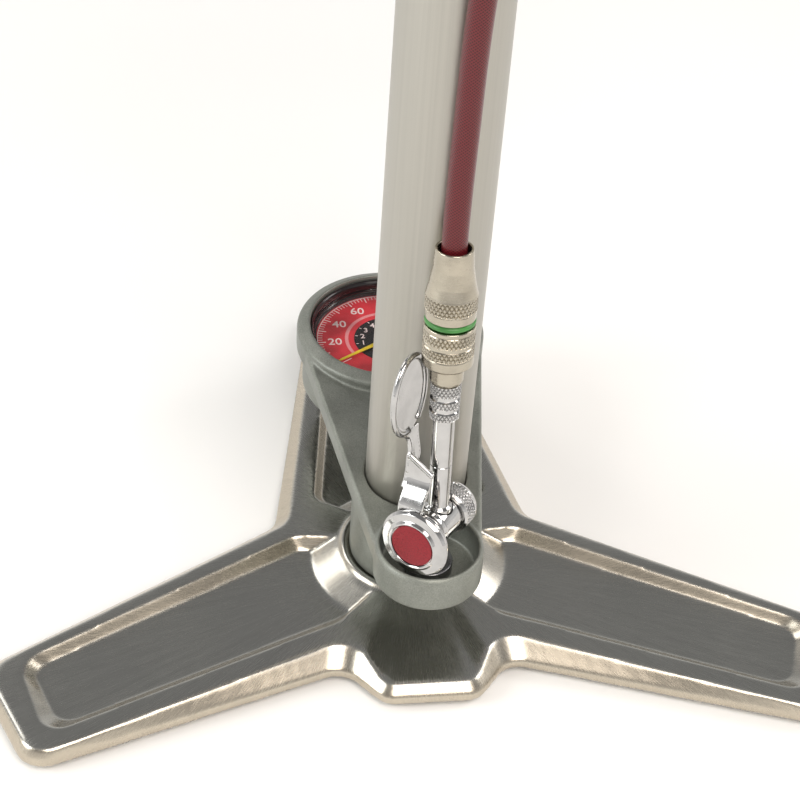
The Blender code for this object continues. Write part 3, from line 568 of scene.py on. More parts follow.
def bore(radius, low, high, steps=150):
    """Plain cutter for a round hole."""
    return lathe([(0, low), (radius, low), (radius, high), (0, high)], steps, phase=0.37)


def washer(inner, outer, low, high, bevel=0.0, steps=96):
    return lathe(filleted([(inner, low), (outer, low, bevel), (outer, high, bevel),
                           (inner, high)]), steps)


def block(x, y, z):
    corners = [(x[0], y[0]), (x[1], y[0]), (x[1], y[1]), (x[0], y[1])]
    return grid_mesh([[(a, b, h) for a, b in corners] for h in z])


def hexagon(across_flats, low, high, bevel=0.6):
    """Hexagonal prism whose ends are chamfered."""
    radius = across_flats / sqrt(3)
    rings = []
    for shrink, height in ((bevel, low), (0, low + bevel / 2), (0, high - bevel / 2),
                           (bevel, high)):
        rings.append([((radius - shrink) * cos(k * pi / 3), (radius - shrink) * sin(k * pi / 3),
                       height) for k in range(6)])
    return grid_mesh(rings)


def ball(radius, steps=48):
    profile = [(radius * sin(pi * k / 24), -radius * cos(pi * k / 24)) for k in range(25)]
    profile[0], profile[-1] = (0, -radius), (0, radius)
    return lathe(profile, steps)


def diamonds(teeth, depth, low, high, pitch):
    """Relief of crossed knurling between two heights."""
    def relief(turn, _, z):
        if not low - 1e-4 <= z <= high + 1e-4:
            return 0.0
        a = (turn / tau * teeth + z / pitch) % 1.0
        b = (turn / tau * teeth - z / pitch) % 1.0
        ridge = min(1.0, 2.4 * min(abs(2 * a - 1), abs(2 * b - 1)))
        edge = min(1.0, (z - low) / 0.25, (high - z) / 0.25)
        return -depth * (1.0 - ridge) * max(0.0, edge)

    return relief


def rows_between(profile, low, high, spacing):
    """Profile with extra points on its upright run between two heights."""
    made = []
    for (r0, z0), (r1, z1) in zip(profile, profile[1:]):
        made.append((r0, z0))
        inside = min(z0, z1) >= low - 1e-4 and max(z0, z1) <= high + 1e-4
        if inside and abs(z1 - z0) > spacing:
            count = ceil(abs(z1 - z0) / spacing)
            made += [(r0 + (r1 - r0) * k / count, z0 + (z1 - z0) * k / count)
                     for k in range(1, count)]
    return made + [profile[-1]]


def knurled(profile, bands, teeth, depth, pitch, steps, spacing=0.12):
    """Lathe whose upright runs between each band's two heights are knurled."""
    rows = filleted(profile)
    for low, high in bands:
        rows = rows_between(rows, low, high, spacing)
    reliefs = [diamonds(teeth, depth, low, high, pitch) for low, high in bands]
    return lathe(rows, steps, lambda *at: sum(relief(*at) for relief in reliefs))


def splined(knots, count):
    """Catmull-Rom curve through vectors or arrays, with count steps between knots."""
    knots = [2 * knots[0] - knots[1]] + knots + [2 * knots[-1] - knots[-2]]
    made = []
    for a, b, c, d in zip(knots, knots[1:], knots[2:], knots[3:]):
        for k in range(count):
            t = k / count
            made.append(0.5 * (2 * b + (c - a) * t + (2 * a - 5 * b + 4 * c - d) * t * t
                               + (3 * b - a - 3 * c + d) * t ** 3))
    return made + [knots[-2]]


def tube_mesh(points, radius, sides=24):
    """Round tube along points, with the length in metres as its second UV."""
    knots = [Vector(p) for p in points]
    side = (knots[1] - knots[0]).normalized().orthogonal().normalized()
    rings, lengths, travelled = [], [], 0.0
    for i, here in enumerate(knots):
        ahead = knots[min(i + 1, len(knots) - 1)]
        behind = knots[max(i - 1, 0)]
        along = (ahead - behind).normalized()
        side = (side - side.dot(along) * along).normalized()
        other = along.cross(side)
        travelled += (here - behind).length
        rings.append([here + (side * cos(tau * k / sides) + other * sin(tau * k / sides))
                      * radius for k in range(sides)])
        lengths.append(travelled * MM)
    return grid_mesh(rings, uv=lengths)


# ---------------------------------------------------------------- pieces

MATERIALS = make_materials()


def evaluated_mesh(made):
    graph = bpy.context.evaluated_depsgraph_get()
    graph.update()
    return bpy.data.meshes.new_from_object(made.evaluated_get(graph), depsgraph=graph)


def bake(made):
    """Puts the result of the object's modifiers into its mesh."""
    bpy.context.view_layer.update()
    mesh = evaluated_mesh(made)
    made.modifiers.clear()
    made.data = mesh
    return made


def loose(name, mesh, place=None):
    made = bpy.data.objects.new(name, mesh)
    bpy.context.collection.objects.link(made)
    made.matrix_world = place if place is not None else place_at()
    return made


def combine(target, mesh, operation, place=None):
    """Boolean between the target and another mesh, baked at once."""
    tool = loose("tool", mesh, place)
    modifier = target.modifiers.new("cut", "BOOLEAN")
    modifier.operation = operation
    modifier.object = tool
    bake(target)
    bpy.data.objects.remove(tool)
    return target


def melted(made, voxel, smoothing):
    """One skin of small voxels over all the object's volumes, smoothed a number of times."""
    skin = made.modifiers.new("skin", "REMESH")
    skin.mode = "VOXEL"
    skin.voxel_size = voxel * MM
    soften = made.modifiers.new("soften", "SMOOTH")
    soften.factor = 0.5
    soften.iterations = smoothing
    return bake(made)


def dressed(made, material, crease):
    """Gives an object its material and smooth faces with sharp creases."""
    made.data.materials.clear()
    made.data.materials.append(MATERIALS[material])
    made.data.shade_smooth()
    made.data.set_sharp_from_angle(angle=radians(crease))
    return made


def finished(made, material, stands_for, crease=40.0):
    """Gives a piece its looks and body, and hides the node it stands for."""
    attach(dressed(made, material, crease), BODY_OF[stands_for])
    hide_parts(stands_for)
    return made


def detail(name, mesh, place, material, body, crease=40.0):
    """Extra piece that stands for no node of its own."""
    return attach(dressed(loose(name, mesh, place), material, crease), body)


def turned_piece(name, mesh, place, material, stands_for, crease=40.0):
    return finished(loose(name, mesh, place), material, stands_for, crease)


# ---------------------------------------------------------------- cast base

TIP_CREASE = 10.4
HUB_CREASE = 12.8
LOBE_CREASE = 10.2

# Left halves of two outlines, from the front lobe round the left leg to the back leg:
# x, y, height and corner radius of the top's crease, and of the casting's lower edge.
CREASE_HALF = [
    (-16.0, -67.6, LOBE_CREASE, 6.0), (-27.5, -45.7, HUB_CREASE, 11.0),
    (-143.1, -92.1, TIP_CREASE, 10.0), (-160.9, -50.2, TIP_CREASE, 12.0),
    (-45.5, 17.2, HUB_CREASE, 12.0), (-21.2, 163.0, TIP_CREASE, 10.0),
]
EDGE_HALF = [
    (-17.5, -71.5, BASE_EDGE_TOP, 8.0), (-31.0, -54.8, BASE_EDGE_TOP, 10.0),
    (-145.2, -94.0, BASE_EDGE_TOP, 11.0), (-164.9, -47.8, BASE_EDGE_TOP, 14.0),
    (-51.0, 21.7, BASE_EDGE_TOP, 10.0), (-24.3, 167.0, BASE_EDGE_TOP, 12.0),
]


def towards(start, end, share):
    """Point of a straight edge that lies at a share of the angle seen from the origin."""
    a, b = Vector(start[:2]), Vector(end[:2])
    ray = Matrix.Rotation(-a.angle_signed(b) * share, 2) @ a
    along = b - a
    t = (a.y * ray.x - a.x * ray.y) / (along.x * ray.y - along.y * ray.x)
    return (a.x + along.x * t, a.y + along.y * t, start[2] + (end[2] - start[2]) * t)


def rounded_outline(corners, arc_steps=13, edge_points=10):
    """Closed outline through (x, y, height, radius) corners, each rounded by an arc."""
    count = len(corners)
    arcs = []
    for i, (x, y, height, radius) in enumerate(corners):
        here = Vector((x, y))
        before = (Vector(corners[i - 1][:2]) - here).normalized()
        after = (Vector(corners[(i + 1) % count][:2]) - here).normalized()
        arcs.append([(*point, height)
                     for point in corner_arc(here, before, after, radius, arc_steps)])
    points = []
    for i, arc in enumerate(arcs):
        points += arc
        following = arcs[(i + 1) % count][0]
        for k in range(1, edge_points + 1):
            points.append(towards(arc[-1], following, k / (edge_points + 1)))
    return points


def mirrored(half):
    return half + [(-c[0], *c[1:]) for c in reversed(half)]


def circle_matching(outline, radius, height):
    """Circle about the origin with one point straight inwards of each outline point."""
    return [(radius * x / hypot(x, y), radius * y / hypot(x, y), height)
            for x, y, _ in outline]


def between(ring_a, ring_b, share):
    return [tuple(a + (b - a) * share for a, b in zip(p, q)) for p, q in zip(ring_a, ring_b)]


def pocket(tip_top, tip_floor, side_top, side_floor, inner_top, inner_floor, steps=24):
    """Cutter for one leg's recess: a flat floor, sloped walls and a cone at the hub.

    Each outline runs from the middle of the tip along the far side, round the hub's cone and
    back along the near side.
    """
    floor_z, tip_z, lift = 8.0, 6.5, 12.0
    hub_end = (Vector(inner_floor[0]) + Vector(inner_floor[1])) / 2
    tip_end = (Vector(tip_floor[0]) + Vector(tip_floor[1])) / 2
    leg = tip_end - hub_end

    def arc(ends, radius):
        angles = [atan2(p[1], p[0]) % tau for p in ends]
        sweep = (angles[1] - angles[0] + pi) % tau - pi
        return [(radius * cos(angles[0] + sweep * k / steps),
                 radius * sin(angles[0] + sweep * k / steps)) for k in range(steps + 1)]

    def outline(tip, side, inner, radius, corner):
        halfway = ((tip[0][0] + tip[1][0]) / 2, (tip[0][1] + tip[1][1]) / 2)
        path = [halfway, (*tip[0], corner), (*side[0], 6.0), *arc(inner, radius),
                (*side[1], 6.0), (*tip[1], corner), halfway]
        return filleted(path, 10)[:-1]

    def share(x, y):
        return (Vector((x, y)) - hub_end).dot(leg) / leg.length_squared

    floor = [(x, y, floor_z + (tip_z - floor_z) * share(x, y))
             for x, y in outline(tip_floor, side_floor, inner_floor, 38.5, 9.0)]
    upper = [(x, y, 14.6 if hypot(x, y) < HUB_R + 1 else 12.7 - 1.7 * share(x, y))
             for x, y in outline(tip_top, side_top, inner_top, HUB_R + 0.1, 13.0)]
    above = [(x, y, z + lift) for x, y, z in upper]
    return grid_mesh([floor, upper, above])


def front_pocket(side):
    """Recess of the left (side 1) or right (side -1) front leg."""
    groups = [
        [(-149.8, -47.3), (-140.0, -83.3)], [(-144.0, -48.4), (-133.5, -75.4)],
        [(-44.5, 9.2), (-31.4, -37.4)], [(-42.5, 5.6), (-31.0, -31.5)],
        [(-26.4, 7.6), (-15.6, -22.6)], [(-37.9, 6.0), (-25.8, -28.4)],
    ]
    return pocket(*[[(side * x, y) for x, y in pair] for pair in groups])


def back_pocket():
    return pocket([(-17.0, 155.0), (17.0, 155.0)], [(-14.5, 147.0), (14.5, 147.0)],
                  [(-34.5, 31.0), (34.5, 31.0)], [(-31.0, 34.0), (31.0, 34.0)],
                  [(-19.0, 20.0), (19.0, 20.0)], [(-26.0, 28.4), (26.0, 28.4)])


def base_rings():
    """Rings round the casting's section, from its underside up over the hub and back."""
    crease = rounded_outline(mirrored(CREASE_HALF))
    edge = rounded_outline(mirrored(EDGE_HALF))
    underside = [(x, y, BASE_UNDERSIDE) for x, y, _ in edge]
    hub = circle_matching(edge, HUB_R, HUB_TOP - 0.3)
    rings = [underside, edge, crease, between(crease, hub, 0.35), between(crease, hub, 0.7),
             hub]
    lip = HUB_TOP + 1.6
    for radius, height in ((26.2, lip), (24.7, lip), (24.2, HUB_TOP), (ROD_R + GAP, HUB_TOP),
                           (ROD_R + GAP, BOLT_SEAT_Z), (BOLT_RECESS_R, BOLT_SEAT_Z),
                           (BOLT_RECESS_R, BASE_UNDERSIDE)):
        rings.append(circle_matching(edge, radius, height))
    return rings + [between(rings[-1], underside, 0.4)]


def make_base():
    base = loose("base_shell", grid_mesh(base_rings(), closed_path=True))
    for cutter in (front_pocket(1), front_pocket(-1), back_pocket()):
        combine(base, cutter, "DIFFERENCE")
    melted(base, voxel=0.75, smoothing=14)
    finished(base, "cast_base", "base_casting", 60.0)


def make_feet():
    for side in ("left", "right", "back"):
        node = f"foot_pad_{side}"
        spot = middle(node) - AXIS
        height = size(node).z
        pad = filleted([(0, 0), (9.6, 0, 0.3), (9.6, 0.5, 0.2), (11.4, 0.0, 0.3),
                        (12.0, 0.8, 0.4), (12.0, height, 0.3), (0, height)])
        turned_piece(f"pad_{side}", lathe(pad, 72), place_at((spot.x, spot.y, 0)), "rubber",
                     node)


def make_base_screw():
    low, high = bottom("base_bolt"), top("base_bolt")
    shape = filleted([(0, low), (8.0, low, 0.6), (8.0, low + 5.1, 0.2), (ROD_R, low + 5.1),
                      (ROD_R, high, 0.8), (0, high)])
    screw = loose("base_screw", lathe(shape, 64))
    combine(screw, hexagon(8.0, low - 2.0, low + 3.2, 0.0), "DIFFERENCE")
    finished(screw, "steel", "base_bolt")


# ---------------------------------------------------------------- body casting

def plate_top(y):
    """Height of the body's sloping top face, level under the gauge ring."""
    return min(53.3 + 0.071 * (y + 12.0), 57.3)


def teardrop(inset, height_of, steps=48):
    """Hull of the gauge and dock circles, inset sideways, with a height for each y."""
    big, small = GAUGE_CUP_R - 0.7 - inset, DOCK_R - 0.7 - inset
    rise = (big - small) / (GAUGE_Y - DOCK_Y)
    tangent = pi / 2 - atan2(rise, sqrt(1 - rise * rise))
    ring = []
    for k in range(steps + 1):
        turn = pi / 2 + (pi - tangent) * (2 * k / steps - 1)
        ring.append((big * cos(turn), GAUGE_Y + big * sin(turn)))
    for k in range(steps + 1):
        turn = -pi / 2 + tangent * (2 * k / steps - 1)
        ring.append((small * cos(turn), DOCK_Y + small * sin(turn)))
    return [(x, y, height_of(y)) for x, y in ring]


def make_body():
    """Drop-shaped plate joined with the gauge cup, dock cup, neck and port, then bored out."""
    def low(y):
        return plate_top(y) - PLATE_THICKNESS

    plate = grid_mesh([teardrop(1.4, low), teardrop(0.4, lambda y: low(y) + 0.5),
                       teardrop(0.0, lambda y: low(y) + 1.5),
                       teardrop(0.0, lambda y: plate_top(y) - 1.5),
                       teardrop(0.4, lambda y: plate_top(y) - 0.5), teardrop(1.4, plate_top)])
    body = loose("body_shell", plate)
    at_gauge = place_at((0, GAUGE_Y, 0))
    at_dock = place_at((0, DOCK_Y, 0))
    along_port = place_at((PORT_X, 0, PORT_Z), (1, 0, 0), (0, 1, 0))
    gauge_outer = filleted([(0, 30.0), (35.3, 30.0, 2.4), (35.3, 46.0, 1.0),
                            (GAUGE_CUP_R, 49.4, 1.5), (GAUGE_CUP_R, 58.6, 1.2),
                            (33.6, GAUGE_RIM_Z, 1.0), (0, GAUGE_RIM_Z)])
    dock_outer = filleted([(0, 38.0), (DOCK_R, 38.0, 1.5), (DOCK_R, DOCK_RIM_Z - 1.6, 1.2),
                           (18.6, DOCK_RIM_Z, 0.6), (0, DOCK_RIM_Z)])
    neck = filleted([(0, HUB_TOP + GAP), (NECK_R, HUB_TOP + GAP, 0.6), (NECK_R, 49.0),
                     (0, 49.0)])
    combine(body, lathe(gauge_outer, 144), "UNION", at_gauge)
    combine(body, lathe(dock_outer, 130, phase=0.43), "UNION", at_dock)
    combine(body, lathe(neck, 134, phase=0.21), "UNION")
    combine(body, block((-8, 8), (15, 56), (28, 50)), "UNION")
    combine(body, rod(7.4, 106, PORT_Y - 8.7), "UNION", along_port)
    above = 75.0
    combine(body, bore(GAUGE_BORE_R, 36.0, above), "DIFFERENCE", at_gauge)
    combine(body, bore(DOCK_BORE_R, 41.0, above), "DIFFERENCE", at_dock)
    combine(body, bore(BARREL_R + GAP, BARREL_BOTTOM - GAP, above), "DIFFERENCE")
    combine(body, bore(8.3, 24.5, 50.0, 61), "DIFFERENCE")
    combine(body, bore(ROD_R + GAP, 5.0, 22.9, 53), "DIFFERENCE")
    melted(body, voxel=0.62, smoothing=4)
    finished(body, "body_finish", "body_casting", 60.0)


def make_magnet():
    magnet = lathe(filleted([(0, 41.3), (9.0, 41.3), (9.0, 45.5, 0.6), (2.2, 45.5, 0.3),
                             (2.0, 44.8), (0, 44.8)]), 64)
    turned_piece("magnet_disc", magnet, place_at((0, DOCK_Y, 0)), "magnet", "dock_magnet")


# ---------------------------------------------------------------- barrel, cap, handle

def make_barrel():
    inner = BARREL_R - 2.5
    tube = filleted([(inner, BARREL_BOTTOM), (BARREL_R, BARREL_BOTTOM, 0.4),
                     (BARREL_R, BARREL_TOP, 0.4), (inner, BARREL_TOP)])
    turned_piece("barrel_skin", lathe(tube, 160), place_at(), "barrel_finish", "barrel_tube")


def make_cap():
    """Fluted cap with a bore for its bush, and the wiper round the rod."""
    skirt_low = bottom("top_cap")
    bush_r = 8.3
    grip_low, grip_high = skirt_low + 18.0, CAP_TOP - 6.0
    cap = filleted([(BARREL_R + GAP, skirt_low), (CAP_R, skirt_low, 0.8),
                    (CAP_R, CAP_TOP - 5, 1.5), (CAP_R - 5, CAP_TOP, 1.5), (bush_r, CAP_TOP),
                    (bush_r, BARREL_TOP + GAP), (BARREL_R + GAP, BARREL_TOP + GAP)])
    cap = rows_between(cap, skirt_low, CAP_TOP - 4, 0.5)

    def flutes(turn, r, z):
        inside = r > CAP_R - 0.1 and grip_low < z < grip_high
        return -0.5 * max(0.0, cos(24 * turn)) ** 2 if inside else 0.0

    turned_piece("cap_shell", lathe(cap, 288, flutes), place_at(), "body_finish", "top_cap")
    wiper = filleted([(ROD_R + GAP, CAP_TOP - 3.1), (8.0, CAP_TOP - 3.1),
                      (8.0, CAP_TOP + 0.3, 0.3), (6.6, CAP_TOP + 0.8, 0.3),
                      (ROD_R + GAP, CAP_TOP + 0.8)])
    turned_piece("wiper_lip", lathe(wiper, 64), place_at(), "rubber", "rod_wiper")


def make_saddle():
    """Bracket on the cap that carries the hose over in a channel."""
    low, high = 588.0, 600.0
    saddle = loose("saddle_bracket", washer(CAP_R + GAP, CAP_R + 4.0, low, high, 1.0, 128))
    combine(saddle, block((25.5, SADDLE_X), (-5, 5), (low + 1, high + 7.5)), "UNION")
    floor_r = SADDLE_BEND_R - HOSE_R - 1.7
    outer, inner, lip_r = 6.5, 4.9, floor_r + 3.2
    section = [(-outer, floor_r - 3), (outer, floor_r - 3), (outer, lip_r), (inner, lip_r),
               (inner, floor_r), (-inner, floor_r), (-inner, lip_r), (-outer, lip_r)]
    rings = []
    for k in range(65):
        turn = radians(12 + 156 * k / 64)
        rings.append([(SADDLE_X + across, radius * cos(turn), SADDLE_Z + radius * sin(turn))
                      for across, radius in section])
    combine(saddle, grid_mesh(rings), "UNION")
    melted(saddle, voxel=0.4, smoothing=4)
    finished(saddle, "body_finish", "hose_saddle", 60.0)


def make_rod():
    """Rod that slides in the cap, and the rubber bumper under the hub."""
    low, high = bottom("piston_rod"), top("piston_rod")
    spindle = filleted([(0, low), (ROD_R, low, 0.6), (ROD_R, high, 0.6), (0, high)])
    turned_piece("rod_skin", lathe(spindle, 72), place_at(), "chrome", "piston_rod")
    low, high = bottom("rod_bumper"), bottom("handle_hub") - GAP
    bumper = filleted([(ROD_R + GAP, low), (11.0, low, 1.8), (11.0, high, 1.8),
                       (ROD_R + GAP, high)])
    turned_piece("bumper_ring", lathe(bumper, 80), place_at(), "rubber", "rod_bumper")


def handle_side(sign):
    """Place whose Z runs outwards along the handle, to the right for sign 1."""
    return place_at((0, 0, HANDLE_Z), (0, 1, 0), (sign, 0, 0))


def make_hub():
    """T hub, bored for the rod, the grips' bolts and the grub screw."""
    low, radius, half = bottom("handle_hub"), 14.0, size("handle_hub").x / 2
    hub = loose("hub_tee", rod(radius, -half, half, 1.2, 128), handle_side(1))
    upright = place_at()
    combine(hub, lathe(filleted([(0, low), (11.5, low, 1.0), (11.5, HANDLE_Z), (0, HANDLE_Z)]),
                       128), "UNION", upright)
    combine(hub, rod(ROD_R + GAP, 600.0, top("piston_rod") + GAP), "DIFFERENCE", upright)
    for sign in (-1, 1):
        combine(hub, rod(4.3, 13.0, 40.0), "DIFFERENCE", handle_side(sign))
    grub_place = place_at((0, 0, middle("handle_grub_screw").z), (1, 0, 0), (0, 1, 0))
    combine(hub, rod(2.8, 4.0, 20.0), "DIFFERENCE", grub_place)
    melted(hub, voxel=0.42, smoothing=4)
    finished(hub, "barrel_finish", "handle_hub", 60.0)
    grub = loose("grub_screw", rod(2.5, ROD_R + GAP, 11.0, 0.3), grub_place)
    combine(grub, hexagon(2.5, 8.6, 14.0, 0.0), "DIFFERENCE", grub_place)
    finished(grub, "steel", "handle_grub_screw")


def make_grip(side, place):
    """Turned wooden grip with its end cap and dome-headed bolt."""
    bolt_start, dome, inner = 13.4, 5.6, 25.3
    outer = bolt_start + size("handle_bolt_left").x - dome
    swell = [(4.3, inner), (13.6, inner, 0.8), (14.4, 27.5, 2.0), (13.6, 33.0, 6.0),
             (15.2, 48.0, 40.0), (16.8, 68.0, 60.0), (16.9, 84.0, 60.0), (15.6, 100.0, 40.0),
             (13.6, 112.0, 14.0), (14.2, 119.0, 6.0), (13.4, outer - 1.0, 0.8),
             (4.3, outer - 1.0)]
    turned_piece(f"grip_{side}", lathe(filleted(swell, 8), 96), place, "wood",
                 f"handle_grip_{side}")
    cap = [(4.3, outer - 0.7), (12.8, outer - 0.7, 0.3), (12.8, outer + 1.6, 0.8),
           (9.5, outer + 4.0, 1.0), (7.9, outer + 4.0, 0.4), (7.9, outer + 1.4),
           (4.3, outer + 1.4)]
    turned_piece(f"end_cap_{side}", lathe(filleted(cap), 96), place, "barrel_finish",
                 f"handle_end_cap_{side}")
    stud = loose(f"end_bolt_{side}", lathe(filleted(
        [(0, bolt_start), (4.0, bolt_start), (4.0, outer + 1.7), (7.0, outer + 1.7),
         (7.0, outer + 4.2, 1.6), (5.4, outer + dome, 1.0), (0, outer + dome)]), 72), place)
    combine(stud, hexagon(5.0, outer + 3.2, outer + 8.0, 0.0), "DIFFERENCE", place)
    finished(stud, "steel", f"handle_bolt_{side}")


# ---------------------------------------------------------------- gauge

def scale_angle(reading):
    return radians(ZERO_DEGREES - DEGREES_PER_UNIT * reading)


def arc_band(inner, outer, start, end, low, high, steps=120):
    """Flat band between two radii and two angles."""
    rings = []
    for k in range(steps + 1):
        turn = start + (end - start) * k / steps
        rings.append([(r * cos(turn), r * sin(turn), z)
                      for r, z in ((inner, low), (outer, low), (outer, high), (inner, high))])
    return grid_mesh(rings)


def bar(turn, inner, outer, width, low, high):
    """Straight mark pointing outwards at an angle."""
    ring = []
    for r, side in ((inner, -0.5), (outer, -0.5), (outer, 0.5), (inner, 0.5)):
        ring.append((r * cos(turn) - side * width * sin(turn),
                     r * sin(turn) + side * width * cos(turn)))
    return grid_mesh([[(x, y, z) for x, y in ring] for z in (low, high)])


def joined(meshes):
    """One mesh holding all the given ones."""
    bm = bmesh.new()
    for mesh in meshes:
        bm.from_mesh(mesh)
    made = bpy.data.meshes.new("piece")
    bm.to_mesh(made)
    bm.free()
    return made


def numeral(text, x, y, height, z):
    """Raised figure centred on a point of the dial."""
    curve = bpy.data.curves.new("numeral", "FONT")
    curve.body = text
    curve.size = height * 1.38 * MM
    curve.align_x = "CENTER"
    curve.align_y = "CENTER"
    curve.extrude = 0.02 * MM
    curve.offset = 0.012 * height * MM
    curve.resolution_u = 4
    made = loose("numeral", curve, Matrix.Identity(4))
    bpy.context.view_layer.update()
    mesh = evaluated_mesh(made)
    bpy.data.objects.remove(made)
    mesh.transform(Matrix.Translation(Vector((x, y, z)) * MM))
    return mesh


def make_dial_print(place):
    """Printed scale: outer ticks and figures, zero mark, pink ring, inner disc and scale."""
    low, high = DIAL_Z + 0.02, DIAL_Z + 0.09
    white = []
    zero, full = scale_angle(0), scale_angle(FULL_SCALE)
    for reading in range(0, FULL_SCALE + 1, 2):
        inner, width = (26.4, 0.45) if reading % 10 == 0 else (27.6, 0.28)
        white.append(bar(scale_angle(reading), inner, 29.6, width, low, high))
    white.append(arc_band(29.5, 29.8, zero, full, low, high))
    for reading in range(20, FULL_SCALE + 1, 20):
        turn = scale_angle(reading)
        white.append(numeral(str(reading), 22.6 * cos(turn), 22.6 * sin(turn), 4.3, low))
    for side in (-2.4, 2.4):
        white.append(bar(zero + radians(side), 20.5, 28.6, 0.35, low, high))
    for step in range(1, 12):
        turn = scale_angle(step * 14.5)
        white.append(bar(turn, 13.2, 14.2, 0.3, high + 0.07, high + 0.12))
        white.append(numeral(str(step), 11.2 * cos(turn), 11.2 * sin(turn), 2.9, high + 0.08))
    detail("dial_scale", joined(white), place, "dial_white", "stand")
    pink = arc_band(17.0, 18.4, zero, full, low, high)
    detail("dial_ring", pink, place, "dial_pink", "stand")
    disc = washer(1.6, 14.6, low, high + 0.05, 0, 96)
    detail("dial_centre", disc, place, "black_gloss", "stand")


def make_gauge():
    """Dial with its print, bezel, clear lens, pointer and the pointer's spindle."""
    at = place_at((0, GAUGE_Y, 0))
    turned_piece("dial_face", washer(1.4, 30.9, bottom("gauge_dial"), DIAL_Z, 0, 144), at,
                 "dial_print", "gauge_dial")
    make_dial_print(at)
    can_r = GAUGE_BORE_R - GAP
    bezel = [(30.15, 52.5), (can_r, 52.5), (can_r, 58.6, 0.3), (can_r - 0.5, 59.2, 0.3),
             (32.3, 59.2, 0.2), (32.0, 58.4, 0.2), (31.7, 58.2, 0.2), (31.4, 57.4, 0.2),
             (31.4, 55.0), (30.9, 55.0, 0.1), (30.8, 54.3, 0.1), (30.15, 53.9, 0.1)]
    turned_piece("bezel_ring", lathe(filleted(bezel, 3), 160), at, "black_gloss",
                 "gauge_bezel")
    lens = filleted([(0, 55.3), (31.1, 55.3, 0.2), (31.1, 56.7, 0.3), (0, 57.0)])
    turned_piece("lens_pane", lathe(lens, 144), at, "clear_lens", "gauge_lens")
    zero = scale_angle(0)
    make_needle(place_at((0, GAUGE_Y, 0), (cos(zero), sin(zero), 0)))
    spindle = filleted([(0, 37.8), (0.8, 37.8), (0.8, 42.6), (2.4, 42.6), (2.4, 44.6),
                        (0.8, 44.6), (0.8, 53.8), (2.8, 53.8), (2.8, 54.3, 0.2),
                        (2.0, 54.9, 0.3), (0, 54.9)], 3)
    turned_piece("needle_cap", lathe(spindle, 48), at, "black_gloss", "gauge_spindle")


def make_needle(place):
    """Tapered pointer with a slight ridge along its middle."""
    outline = [(-7.0, 1.3), (2.0, 1.0), (25.0, 0.52), (26.4, 0.06)]
    rings = []
    for x, half in outline:
        rings.append([(x, -half, 53.0), (x, half, 53.0), (x, half, 53.3), (x, 0, 53.5),
                      (x, -half, 53.3)])
    needle = loose("pointer", grid_mesh(rings), place)
    combine(needle, rod(2.4, 53.0, 53.5, 0.1, 48), "UNION", place)
    combine(needle, rod(1.1, 50, 56, 0, 32), "DIFFERENCE", place)
    finished(needle, "needle_paint", "gauge_needle")


# ---------------------------------------------------------------- hose and its fittings

SWIVEL_HEIGHT = 70.0


def chuck_frame():
    """Frame of the docked chuck from its joints: X along the head, Z up the stem."""
    swivel, knob = JOINTS["coupler_swivel"], JOINTS["knob_turn"]
    up = Vector(swivel["axis"]).normalized()
    origin = Vector(swivel["pos_m"]) / MM - AXIS - up * SWIVEL_HEIGHT
    return place_at(origin, knob["axis"], up)


CHUCK = chuck_frame()
ACROSS = CHUCK @ Matrix.Rotation(pi / 2, 4, "Y")
COUPLER_TOP = Vector((1.4, -27.0, 175.2))

# From the ferrule behind the gauge, over the saddle and down to the coupler.
HOSE_ROUTE = [
    (PORT_X, PORT_Y, HOSE_START_Z), (PORT_X, PORT_Y, 78.0), (13.0, 127.5, 110.0),
    (16.0, 118.0, 180.0), (21.0, 103.0, 270.0), (27.5, 84.0, 370.0), (34.5, 61.0, 470.0),
    (39.0, 42.5, 545.0), (SADDLE_X, 35.0, 580.0), (SADDLE_X, 30.3, 597.5),
    (SADDLE_X, 17.5, 610.3), (SADDLE_X, 0.0, 615.0), (SADDLE_X, -17.5, 610.3),
    (SADDLE_X, -30.3, 597.5), (SADDLE_X, -35.0, 580.0), (38.0, -37.5, 545.0),
    (30.0, -36.5, 475.0), (18.0, -32.0, 395.0), (7.5, -27.5, 320.0), (3.2, -25.2, 262.0),
    (2.0, -24.9, 215.0),
]


def smooth_path(route, spacing):
    """Points about spacing apart on a smooth curve through the route's points."""
    dense = splined([Vector(p) for p in route], 48)
    length = sum((q - p).length for p, q in zip(dense, dense[1:]))
    count = round(length / spacing)
    points = [dense[0]]
    travelled, target = 0.0, length / count
    for p, q in zip(dense, dense[1:]):
        step = (q - p).length
        while travelled + step >= target and len(points) < count:
            points.append(p.lerp(q, (target - travelled) / step))
            target += length / count
        travelled += step
    points.append(dense[-1])
    return points, length


def make_hose():
    """Hose along its route, ending in the coupler and chuck."""
    axis = Vector(CHUCK.col[2][:3])
    route = HOSE_ROUTE + [tuple(COUPLER_TOP + axis * 6.0), tuple(COUPLER_TOP - axis * 14.0)]
    points, length = smooth_path(route, 1.6)
    hose = loose("hose_braid", tube_mesh(points, HOSE_R, 32))
    finished(hose, "hose_red", "hose", 80.0)


